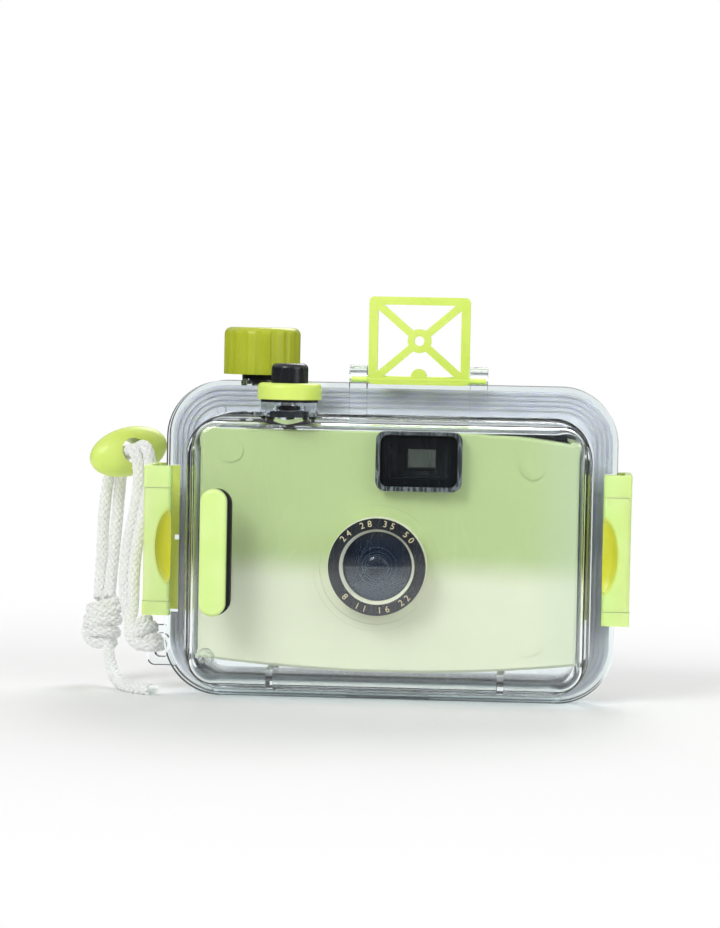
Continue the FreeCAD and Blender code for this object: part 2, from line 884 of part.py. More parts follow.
def build_seals():
    """The gasket and its ribs as one piece, and the round seals."""
    parts = list(build_gasket())
    base = parts.pop()
    ring_zone = new_body("gasket_zone")
    zone = [flange_outline(d.gasket_margin), case_outline(-d.gasket_overlap)]
    pad(ring_zone, "front", zone, -half_gap, half_gap)
    ribs = doc.addObject("Part::MultiCommon", "gasket_ribs_kept")
    ribs.Shapes = [joined("gasket_ribs", *parts), ring_zone]
    waists = []
    for side in (-1, 1):
        edge, reach = side * (flange_half - d.gasket_waist), side * (flange_half + 1.0)
        across = (edge, reach) if side > 0 else (reach, edge)
        deep = (-2 * half_gap, 2 * half_gap)
        waists.append(box(f"gasket_waist_{side + 1}", across, deep, (d.latch_bottom, d.latch_top)))
    node("gasket", less("gasket", joined("gasket_whole", base, ribs), *waists))
    button_axis = (d.button_place, -d.button_depth)
    stem_level = web_bottom + d.stem_seal_radius + d.run_gap / 2
    stem_ring = d.stem_radius + d.stem_seal_radius + d.run_gap / 2
    node("stem_seal", ring_seal("stem_seal", button_axis, stem_level, stem_ring, d.stem_seal_radius))
    shaft_level = d.knob_boss_top - d.shaft_seal_radius - d.run_gap / 2
    shaft_ring = d.shaft_radius + d.shaft_seal_radius + d.run_gap
    axis = (knob_place, d.knob_depth)
    node("shaft_seal", ring_seal("shaft_seal", axis, shaft_level, shaft_ring, d.shaft_seal_radius))
    inner = d.cap_radius + d.move_gap
    seal = tube("collar_seal", "z", button_axis, button_boss_radius, inner, d.button_boss_top, collar_bottom)
    node("collar_seal", seal)
    washer_inner = d.shaft_radius + 2 * d.run_gap
    washer_top = d.knob_boss_top + d.knob_washer_thick
    washer = tube("knob_washer", "z", axis, d.knob_boss_radius, washer_inner, d.knob_boss_top, washer_top)
    node("knob_washer", washer)


def build_shutter_button():
    """Collar, rubber cap, plunger, return spring and the foot that reaches the camera's release."""
    axis = (d.button_place, -d.button_depth)
    body = new_body("shutter_collar")
    bore = d.cap_radius + d.move_gap
    pad(body, "top", [Disc(*axis, collar_radius), Disc(*axis, bore)], collar_bottom, collar_top)
    round_edges(body, d.collar_round, in_plane("Z", float(collar_top)))
    node("shutter_collar", body)
    cap = new_body("shutter_cap")
    skirt = d.button_boss_top + d.button_travel + 4 * d.fit_gap
    pad(cap, "top", [Disc(*axis, d.cap_radius)], skirt, cap_top)
    round_edges(cap, d.cap_round, in_plane("Z", float(cap_top)))
    pocket(cap, "top", [Disc(*axis, d.cap_radius - d.cap_wall)], skirt, cap_top - d.cap_wall)
    node("shutter_cap", cap)
    head_radius = d.cap_radius - d.cap_wall - d.fit_gap / 2
    head = rod("plunger_head", "z", axis, head_radius, head_bottom, head_top)
    stem = rod("plunger_stem", "z", axis, d.stem_radius, foot_top, head_bottom + d.head_thick / 2)
    node("shutter_plunger", joined("shutter_plunger", head, stem))
    disc = rod("foot_disc", "z", axis, foot_radius, foot_bottom, foot_top)
    finger_axis = (d.button_place, release_place)
    finger_low = release_top + 2 * d.fit_gap
    finger = rod("foot_finger", "z", finger_axis, d.finger_radius, finger_low, foot_bottom + d.foot_thick / 2)
    node("plunger_foot", joined("plunger_foot", disc, finger))
    low = d.button_boss_top + d.spring_wire + d.fit_gap
    high = head_bottom - d.spring_wire - d.fit_gap
    coil = doc.addObject("Part::Feature", "shutter_spring")
    coil.Shape = coil_spring(d.spring_radius, d.spring_wire, high - low, d.spring_turns)
    coil.Placement = FreeCAD.Placement(FreeCAD.Vector(*axis, low), FreeCAD.Rotation())
    node("shutter_spring", coil)
    button = new_body("release_button")
    outline = [Disc(d.button_place, release_place, d.release_radius)]
    pad(button, "top", outline, release_top - d.release_length, release_top)
    round_edges(button, 4 * d.fit_gap, in_plane("Z", float(release_top)))
    node("release_button", button)


def coil_spring(radius, wire, height, turns):
    """Helical spring about z from z = 0, swept along tangent arcs of a quarter turn each."""
    quarters = int(round(4 * turns))
    climb = height / quarters
    pitch_run = math.hypot(radius * math.pi / 2, climb)
    edges = []

    def state(step):
        angle = step * math.pi / 2
        place = FreeCAD.Vector(radius * math.cos(angle), radius * math.sin(angle), climb * step)
        along = FreeCAD.Vector(-math.sin(angle), math.cos(angle), 0) * (radius * math.pi / 2 / pitch_run)
        return place, along + FreeCAD.Vector(0, 0, climb / pitch_run)

    for step in range(quarters):
        edges += biarc(*state(step), *state(step + 1))
    path = Part.Wire(edges)
    begin, along = state(0)
    circle = Part.Wire(Part.Circle(begin, along, float(wire)).toShape())
    made = path.makePipeShell([circle], True, False)
    gap = height / turns - 2 * wire
    print(f"shutter_spring: least gap between turns {float(gap):.2f} mm")
    return made


def biarc(start, start_along, end, end_along):
    """Two arcs that join two points with given directions."""
    reach = end - start
    sum_along = start_along + end_along
    dot = reach.dot(sum_along)
    spread = 2 * (1 - start_along.dot(end_along))
    length = (-dot + math.sqrt(dot * dot + spread * reach.dot(reach))) / spread
    first_corner = start + start_along * length
    second_corner = end - end_along * length
    joint = (first_corner + second_corner) * 0.5
    return [
        bend(start, first_corner, joint),
        bend(joint, second_corner, end),
    ]


def bend(start, corner, end):
    """Arc from start to end whose tangents meet at the corner."""
    weight = (end - start).Length / 2 / (corner - start).Length
    middle = (start + corner * (2 * weight) + end) * (1 / (2 + 2 * weight))
    return Part.Arc(start, middle, end).toShape()


def build_wind_drive():
    """Fluted knob on its shaft, clip under the housing's ceiling and the drive pinion."""
    axis = (knob_place, d.knob_depth)
    knob_top = knob_bottom + d.knob_height
    body = new_body("wind_knob")
    pad(body, "top", [Disc(0.0, 0.0, d.knob_radius)], knob_bottom, knob_top)
    round_edges(body, d.knob_round, in_plane("Z", float(knob_top)))
    pocket(body, "top", [Disc(0.0, 0.0, d.knob_dish_radius)], knob_top - d.knob_dish_depth, knob_top)
    bore_top = knob_bottom + d.knob_height * 0.6
    pocket(body, "top", [Disc(0.0, 0.0, d.shaft_radius + d.run_gap)], knob_bottom, bore_top)
    flute_at = d.knob_radius + d.knob_flute_radius - d.knob_flute_depth
    flute = pocket(body, "top", [Disc(flute_at, 0.0, d.knob_flute_radius)], knob_bottom, knob_top)
    around(body, flute, d.knob_flutes)
    stand_at(body, *axis)
    node("wind_knob", body)
    shaft = rod("wind_shaft", "z", axis, d.shaft_radius, d.drive_level, bore_top - d.fit_gap)
    clip_top = ceiling - 2 * d.fit_gap
    clip_bottom = clip_top - d.clip_thick
    neck = d.shaft_radius - 0.5
    groove = tube(
        "shaft_groove", "z", axis, d.shaft_radius + 1, neck, clip_bottom - d.run_gap, clip_top + d.run_gap
    )
    node("wind_shaft", less("wind_shaft_cut", shaft, groove))
    clip = tube("shaft_clip_ring", "z", axis, d.clip_radius, neck + d.run_gap, clip_bottom, clip_top)
    mouth_half = d.shaft_radius - 1.0
    mouth = box(
        "shaft_clip_mouth",
        (knob_place, knob_place + d.clip_radius + 1),
        (d.knob_depth - mouth_half, d.knob_depth + mouth_half),
        (clip_bottom - 1, clip_top + 1),
    )
    node("shaft_clip", less("shaft_clip", clip, mouth))
    pinion = gear("wind_pinion", d.drive_module, d.drive_pinion_teeth, d.drive_level, drive_top, d.shaft_radius)
    stand_at(pinion, *axis, -90.0)
    node("wind_pinion", pinion)


def gear(name, module, teeth, low, high, bore):
    """Spur gear about its own upright axis, with a tooth on its +X side."""
    body = new_body(name)
    pitch_radius = module * teeth / 2
    root_radius = pitch_radius - 1.1 * module
    tip_radius = pitch_radius + 0.75 * module
    pad(body, "top", [Disc(0.0, 0.0, root_radius)], low, high)
    root_half = 0.86 * module
    tip_half = 0.34 * module
    seat = root_radius - 0.3 * module
    tooth = Outline(seat, -root_half).line(tip_radius, -tip_half).line(tip_radius, tip_half)
    tooth.line(seat, root_half).line(seat, -root_half)
    feature = pad(body, "top", [tooth], low, high)
    around(body, feature, teeth)
    pocket(body, "top", [Disc(0.0, 0.0, bore + d.run_gap)], low, high)
    return body


def build_transport():
    """Advance wheel and sprocket on one axle, take-up spool, frame counter, rewind knob and fork."""
    spool_axis = (spool_place, spool_depth)
    sprocket_axis = (sprocket_place, d.sprocket_depth)
    wheel = gear("advance_wheel", d.drive_module, d.drive_wheel_teeth, d.drive_level, drive_top, d.axle_radius)
    stand_at(wheel, *spool_axis, 90.0 - 180.0 / float(d.drive_wheel_teeth))
    node("advance_wheel", wheel)
    mesh_angle = math.degrees(math.atan2(float(gear_offset), float(gear_step)))
    gear_top = d.spool_gear_level + d.spool_gear_thick
    sprocket_gear = gear(
        "sprocket_gear", d.spool_module, d.sprocket_gear_teeth, d.spool_gear_level, gear_top, d.axle_radius - 0.2
    )
    stand_at(sprocket_gear, *sprocket_axis, mesh_angle + 180.0 + 180.0 / float(d.sprocket_gear_teeth))
    drum = new_body("sprocket_drum")
    pad(drum, "top", [Disc(0.0, 0.0, d.sprocket_radius)], d.sprocket_bottom, d.sprocket_top)
    for level in (d.sprocket_bottom + 2.0, d.sprocket_top - 3.0):
        half = d.sprocket_tooth / 2
        tip = d.sprocket_radius + d.sprocket_tooth
        point = Outline(d.sprocket_radius - 1, -half).line(tip, -half / 2).line(tip, half / 2)
        point.line(d.sprocket_radius - 1, half).line(d.sprocket_radius - 1, -half)
        feature = pad(drum, "top", [point], level, level + 1.0)
        around(drum, feature, d.sprocket_teeth)
    stand_at(drum, *sprocket_axis)
    axle_low = d.chamber_bottom - 1.4
    axle = rod("sprocket_axle", "z", sprocket_axis, d.axle_radius, axle_low, top_section + 1.5)
    node("sprocket", joined("sprocket", drum, sprocket_gear, axle))
    spool_gear = gear(
        "spool_gear", d.spool_module, d.spool_gear_teeth, d.spool_gear_level, gear_top, d.axle_radius - 0.2
    )
    stand_at(spool_gear, *spool_axis, mesh_angle)
    spool_low = d.chamber_bottom + 1.6
    core = rod("spool_core", "z", spool_axis, d.spool_radius, spool_low, d.spool_gear_level + 0.5)
    foot = rod("spool_flange", "z", spool_axis, d.spool_radius + 2.0, spool_low - 0.8, spool_low)
    pin = rod("spool_axle", "z", spool_axis, d.axle_radius, axle_low, drive_top + 1.0)
    slot = box(
        "spool_slot",
        (spool_place - d.spool_slot / 2, spool_place + d.spool_slot / 2),
        (spool_depth + d.axle_radius + 0.6, spool_depth + d.spool_radius + 1),
        (d.sprocket_bottom, d.sprocket_top),
    )
    node("take_up_spool", less("take_up_spool", joined("spool_whole", spool_gear, core, foot, pin), slot))
    dial_top = d.camera_top - 1.2 - d.fit_gap
    dial_axis = (d.dial_place, d.dial_depth)
    face = rod("dial_face", "z", dial_axis, d.dial_radius, dial_top - d.dial_thick, dial_top)
    post = rod("dial_post", "z", dial_axis, 1.0, dial_top - d.dial_thick - 2.0, dial_top - d.dial_thick / 2)
    node("counter_dial", joined("counter_dial", face, post))
    rewind_axis = (cassette_place, cassette_axis)
    rewind_top = d.camera_top - 2 * d.fit_gap
    body = new_body("rewind_knob")
    pad(body, "top", [Disc(0.0, 0.0, d.rewind_radius)], rewind_top - d.rewind_thick, rewind_top)
    half = d.crank_width / 2
    reach = d.rewind_radius - 1.2
    groove_floor = rewind_top - 0.9
    for low, high in ((half, half + 0.7), (-half - 0.7, -half)):
        pocket(body, "top", [rectangle(-reach + 2, reach, low, high)], groove_floor, rewind_top)
    stand_at(body, *rewind_axis)
    node("rewind_knob", body)
    shaft_low = d.door_top - d.fork_length
    shaft = rod("fork_shaft", "z", rewind_axis, d.rewind_shaft, shaft_low, rewind_top - d.rewind_thick)
    blade = box(
        "fork_blade",
        (cassette_place - d.rewind_shaft - 0.8, cassette_place + d.rewind_shaft + 0.8),
        (cassette_axis - 0.5, cassette_axis + 0.5),
        (shaft_low, shaft_low + d.fork_length / 2),
    )
    node("rewind_fork", joined("rewind_fork", shaft, blade))


def build_sight():
    """Fold-up sight frame with crossed bars, centre ring and hinge stubs."""
    body = new_body("sight_frame")
    left = d.sight_place - d.sight_width / 2
    right = d.sight_place + d.sight_width / 2
    top = d.sight_bottom + d.sight_height
    near, far = -d.sight_depth - d.sight_thick / 2, -d.sight_depth + d.sight_thick / 2
    in_left, in_right = left + d.sight_side, right - d.sight_side
    in_low, in_high = d.sight_bottom + d.sight_rail, top - d.sight_rail
    frame = [
        rectangle(left, right, d.sight_bottom, top, d.sight_corner),
        rectangle(in_left, in_right, in_low, in_high, d.sight_corner / 2),
    ]
    pad(body, "front", frame, near, far)
    span, rise = in_right - in_left, in_high - in_low
    length = root(span * span + rise * rise)
    off_across = rise / length * d.sight_cross / 2
    off_up = span / length * d.sight_cross / 2
    for start_up, end_up, lean in ((in_low, in_high, 1), (in_high, in_low, -1)):
        bar = Outline(in_left - off_across, start_up + lean * off_up)
        bar.line(in_left + off_across, start_up - lean * off_up)
        bar.line(in_right + off_across, end_up - lean * off_up)
        bar.line(in_right - off_across, end_up + lean * off_up)
        bar.line(in_left - off_across, start_up + lean * off_up)
        pad(body, "front", [bar], near, far)
    middle = (in_low + in_high) / 2
    pad(body, "front", [Disc(d.sight_place, middle, d.sight_ring)], near, far)
    pad(body, "front", [Disc(d.sight_place, in_low, d.sight_nub)], near, far)
    stub_reach = d.sight_width / 2 + d.move_gap + d.ear_width - 4 * d.fit_gap
    stub = [Disc(-d.sight_depth, d.sight_axis, d.sight_stub)]
    pad(body, "side", stub, d.sight_place - stub_reach, d.sight_place + stub_reach)
    pocket(body, "front", [Disc(d.sight_place, middle, d.sight_hole)], near, far)
    node("sight_frame", body)


def build_grip():
    """Finger bar on its pad, on the front of the housing."""
    pad_back = -d.case_front
    pad_front = pad_back - d.grip_pad_thick
    base = new_body("grip_pad")
    shape = stadium(grip_place + 0.5, d.grip_level, d.grip_pad_width, d.grip_pad_length)
    pad(base, "front", [shape], pad_front, pad_back)
    node("grip_pad", base)
    bar = new_body("finger_grip")
    bar_front = pad_front - d.grip_thick
    pad(bar, "front", [stadium(grip_place, d.grip_level, d.grip_width, d.grip_length)], bar_front, pad_front)
    round_edges(bar, d.grip_thick / 2.5, in_plane("Y", float(bar_front)))
    node("finger_grip", bar)


def build_latch(side, name, reach):
    """One side latch: base strip on the rear flange, link, lever and the link's front pin."""

    def placed(outline):
        return outline if side > 0 else outline.mirrored()

    outer = flange_half + reach
    inner = outer - d.latch_width
    strip_inner = case_half + d.strip_gap
    strip_edge = flange_half - d.strip_margin
    pin_across = outer - d.barrel_radius
    pin_hole = d.pin_radius + d.run_gap
    front = -d.latch_front
    block_back = -d.latch_front + d.latch_block
    neck_back = block_back + 1.0
    rear_neck = d.rear_pin_depth - d.barrel_radius - 4 * d.fit_gap
    plate_in = outer - d.latch_plate
    link = new_body(f"latch_link_{name}")
    plate = rectangle(plate_in, outer, neck_back - 0.2, rear_neck)
    pad(link, "top", [placed(plate)], d.latch_bottom, d.latch_top)
    middle_low = (d.latch_bottom + d.latch_top) / 2 - d.base_knuckle / 2 - d.fit_gap
    middle_high = (d.latch_bottom + d.latch_top) / 2 + d.base_knuckle / 2 + d.fit_gap
    for low, high in ((d.latch_bottom, middle_low), (middle_high, d.latch_top)):
        neck = rectangle(plate_in, outer, rear_neck - 0.2, d.rear_pin_depth)
        pad(link, "top", [placed(neck)], low, high)
        pad(link, "top", [Disc(side * pin_across, d.rear_pin_depth, d.barrel_radius)], low, high)
    corner = d.latch_block / 3
    for low, high in ((d.latch_bottom, d.lever_bottom), (d.lever_top, d.latch_top)):
        knuckle = Outline(inner, block_back).line(inner, front + corner)
        knuckle.arc(inner + corner, front, (inner + corner, front + corner))
        knuckle.line(outer - corner, front)
        knuckle.arc(outer, front + corner, (outer - corner, front + corner))
        knuckle.line(outer, neck_back).line(plate_in, neck_back).line(plate_in - 1.0, block_back)
        knuckle.line(inner, block_back)
        pad(link, "top", [placed(knuckle)], low, high)
    for deep in (-d.front_pin_depth, d.rear_pin_depth):
        hole = [Disc(side * pin_across, deep, pin_hole)]
        pocket(link, "top", hole, d.latch_bottom, d.latch_top)
    node(f"latch_link_{name}", link)

    lever = new_body(f"lever_{name}_blank")
    tip = inner
    cam_out = outer - d.cam_offset
    cam_in = cam_out - d.cam_width
    lever_low, lever_high = d.lever_bottom + d.fit_gap, d.lever_top - d.fit_gap
    half = d.latch_block / 2
    blank = Outline(tip, front + corner)
    blank.arc(tip + corner, front, (tip + corner, front + corner))
    blank.line(pin_across, front)
    blank.line(pin_across, block_back).line(cam_out, block_back)
    blank.line(cam_out, -flange_front - d.cam_gap).line(cam_in, -flange_front - d.cam_gap)
    blank.line(cam_in, block_back).line(tip, block_back).line(tip, front + corner)
    pad(lever, "top", [placed(blank)], lever_low, lever_high)
    roll = [Disc(side * pin_across, -d.front_pin_depth, d.latch_front - d.front_pin_depth)]
    pad(lever, "top", roll, lever_low, lever_high)
    pocket(lever, "top", [Disc(side * pin_across, -d.front_pin_depth, pin_hole)], lever_low, lever_high)
    scoop = doc.addObject("Part::Ellipsoid", f"scoop_{name}")
    bind(scoop, "Radius1", d.scoop_height)
    bind(scoop, "Radius2", d.scoop_width)
    bind(scoop, "Radius3", d.scoop_depth)
    scoop_level = (d.lever_bottom + d.lever_top) / 2 - 0.4
    for letter, place in zip("xyz", (side * tip, front - 0.9, scoop_level)):
        bind(scoop, f"Placement.Base.{letter}", place)
    node(f"latch_lever_{name}", less(f"latch_lever_{name}", lever, scoop))

    base = new_body(f"latch_base_{name}")
    strip_back = flange_front + d.strip_thick
    strip = rectangle(strip_inner, strip_edge, flange_front, strip_back)
    pad(base, "top", [placed(strip)], d.latch_bottom + 0.5, d.latch_top - 0.5)
    arm = rectangle(strip_edge - 0.5, pin_across, flange_front, strip_back)
    low = middle_low + 2 * d.fit_gap
    high = middle_high - 2 * d.fit_gap
    pad(base, "top", [placed(arm)], low, high)
    pad(base, "top", [Disc(side * pin_across, d.rear_pin_depth, d.barrel_radius)], low, high)
    pocket(base, "top", [Disc(side * pin_across, d.rear_pin_depth, pin_hole)], low, high)
    hole_mid = strip_edge - d.strip_hole_inset
    hole_half = d.strip_hole / 2
    hole_level = (d.latch_bottom + d.latch_top) / 2
    eye = rectangle(hole_mid - hole_half, hole_mid + hole_half, hole_level - hole_half, hole_level + hole_half)
    pocket(base, "front", [placed(eye)], flange_front, strip_back)
    node(f"latch_base_{name}", base)

    pin_low, pin_high = d.latch_bottom + 4 * d.fit_gap, d.latch_top - 4 * d.fit_gap
    front_axis = (side * pin_across, -d.front_pin_depth)
    node(f"latch_pin_{name}", rod(f"latch_pin_{name}", "z", front_axis, d.pin_radius, pin_low, pin_high))
    rear_axis = (side * pin_across, d.rear_pin_depth)
    return rod(f"rear_pin_{name}", "z", rear_axis, d.pin_radius, pin_low, pin_high)


def build_latches():
    """Both latches; their two rear pins are one group."""
    pins = [build_latch(-1, "left", d.latch_reach_left), build_latch(1, "right", d.latch_reach_right)]
    group = doc.addObject("Part::Compound", "latch_rear_pins")
    group.Links = pins
    node("latch_rear_pins", group)


def finder_rectangle(width, height, corner=None):
    """Rectangle about the finder's axis."""
    return rectangle(
        d.finder_place - width / 2,
        d.finder_place + width / 2,
        d.finder_level - height / 2,
        d.finder_level + height / 2,
        corner,
    )


def build_camera_body():
    """Black chassis: film gate, chambers, transport slots, bores and seats."""
    body = new_body("camera_body")
    inset = d.cover_thick + d.fit_gap
    pad(body, "front", [camera_outline(0.0, d.camera_top, False)], -cover_back + d.fit_gap, d.chassis_back)
    pad(body, "front", [camera_outline(inset, d.camera_top - inset, True)], -chassis_front, -cover_back + 1)
    upper = rectangle(-camera_half, camera_half, top_section, d.camera_top, d.camera_corner)
    pad(body, "front", [upper], d.chassis_back - 1, door_back)
    chamber = rectangle(cassette_low, cassette_high, d.chamber_bottom, d.door_top)
    pocket(body, "front", [chamber], d.chassis_back - d.cassette_depth, d.chassis_back)
    spool_half = d.take_up_width / 2
    take_up = rectangle(spool_place - spool_half, spool_place + spool_half, d.chamber_bottom, d.door_top)
    take_up_front = spool_depth - spool_pitch - d.spool_module - d.move_gap
    pocket(body, "front", [take_up], take_up_front, d.chassis_back)
    lane = d.sprocket_radius + d.sprocket_tooth + d.move_gap
    lane_low = d.sprocket_bottom - 1.5
    slot = rectangle(sprocket_place - lane, sprocket_place + lane, lane_low, d.door_top)
    pocket(body, "front", [slot], d.sprocket_depth - lane, d.chassis_back)
    gear_lane = sprocket_pitch + d.spool_module + d.move_gap
    gear_slot = rectangle(
        sprocket_place - gear_lane, sprocket_place + gear_lane, d.spool_gear_level - 2 * d.move_gap, d.door_top
    )
    pocket(body, "front", [gear_slot], d.sprocket_depth - gear_lane, d.chassis_back)
    channel = rectangle(
        sprocket_place - 1.0,
        cassette_low + 1.0,
        d.lens_level - d.channel_height / 2,
        d.lens_level + d.channel_height / 2,
    )
    pocket(body, "front", [channel], film_plane, d.chassis_back)
    gate = rectangle(gate_left, gate_right, d.lens_level - d.gate_height / 2, d.lens_level + d.gate_height / 2)
    gate_front = -d.rear_lens_front + d.rear_lens_thick + 1.0
    pocket(body, "front", [gate], gate_front, d.chassis_back)
    lens_axis = (d.lens_place, d.lens_level)
    pocket(body, "front", [Disc(*lens_axis, d.lens_bore)], -chassis_front, -d.rear_lens_front - 0.4)
    pocket(body, "front", [Disc(*lens_axis, d.rear_lens_radius + d.run_gap)], -chassis_front, gate_front + 0.5)
    recess = finder_rectangle(d.mask_width + 2 * d.fit_gap, d.mask_height + 2 * d.fit_gap)
    pocket(body, "front", [recess], -chassis_front, -d.mask_back + d.fit_gap)
    tunnel = finder_rectangle(d.tunnel_width, d.tunnel_height)
    pocket(body, "front", [tunnel], -chassis_front, door_back)
    rim = 2 * (d.eyepiece_rim + d.fit_gap)
    seat = finder_rectangle(d.tunnel_width + rim, d.tunnel_height + rim)
    pocket(body, "front", [seat], door_back - d.eyepiece_thick - 2 * d.fit_gap, door_back)
    notch_half = pinion_pitch + d.drive_module + d.move_gap
    notch = rectangle(
        knob_place - notch_half, knob_place + notch_half, d.knob_depth - notch_half, door_back + 1
    )
    pocket(body, "top", [notch], notch_floor, d.camera_top)
    wheel_slot = [Disc(spool_place, spool_depth, wheel_pitch + d.drive_module + d.move_gap)]
    pocket(body, "top", wheel_slot, notch_floor, drive_top + 2 * d.move_gap)
    axle_hole = d.axle_radius + d.run_gap
    axle_low = d.chamber_bottom - 1.6
    pocket(body, "top", [Disc(spool_place, spool_depth, axle_hole)], axle_low, drive_top + 1.2)
    pocket(body, "top", [Disc(sprocket_place, d.sprocket_depth, axle_hole)], axle_low, top_section + 1.7)
    release_bore = [Disc(d.button_place, release_place, d.release_radius + d.fit_gap)]
    release_low = release_top - d.release_length - d.button_travel - 4 * d.fit_gap
    pocket(body, "top", release_bore, release_low, d.camera_top)
    dial_high = d.camera_top - 1.2
    dial_low = dial_high - d.dial_thick - 4 * d.fit_gap
    dial_axis = (d.dial_place, d.dial_depth)
    pocket(body, "top", [Disc(*dial_axis, d.dial_radius + d.move_gap)], dial_low, dial_high)
    pocket(body, "top", [Disc(*dial_axis, 1.0 + d.run_gap)], dial_low - 2.2, dial_low)
    view_half = d.dial_radius / 4
    view_mid = d.dial_depth - d.dial_radius / 2
    view = rectangle(
        d.dial_place - view_half, d.dial_place + view_half, view_mid - view_half, view_mid + view_half
    )
    pocket(body, "top", [view], dial_high, d.camera_top)
    rewind_axis = (cassette_place, cassette_axis)
    seat_low = d.camera_top - 4 * d.fit_gap - d.rewind_thick
    pocket(body, "top", [Disc(*rewind_axis, d.rewind_radius + d.move_gap)], seat_low, d.camera_top)
    pocket(body, "top", [Disc(*rewind_axis, d.rewind_shaft + d.run_gap)], d.door_top - 0.5, seat_low)
    slide_room = d.latch_slide_length + d.latch_slide_travel + 4 * d.fit_gap
    slot_low = d.latch_slide_bottom - 2 * d.fit_gap
    slot_half = d.latch_slide_width / 2 + 2 * d.fit_gap
    slide_slot = rectangle(
        d.latch_slide_place - slot_half, d.latch_slide_place + slot_half, slot_low, slot_low + slide_room
    )
    pocket(body, "side", [slide_slot], -camera_half, -camera_half + d.latch_slide_depth)
    groove = [Disc(hinge_across, hinge_deep, d.hinge_radius + 2 * d.fit_gap)]
    pocket(body, "top", groove, d.hinge_bottom, d.hinge_top)
    pin_hole = [Disc(hinge_across, hinge_deep - 1.3, d.hinge_pin + d.run_gap)]
    pocket(body, "top", pin_hole, d.hinge_bottom - 2.2, d.hinge_top + 2.2)
    for place in screw_places:
        hole = [Disc(place, d.screw_level, d.screw_shank + d.run_gap)]
        pocket(body, "front", hole, door_back - d.screw_length, door_back)
    node("camera_body", body)


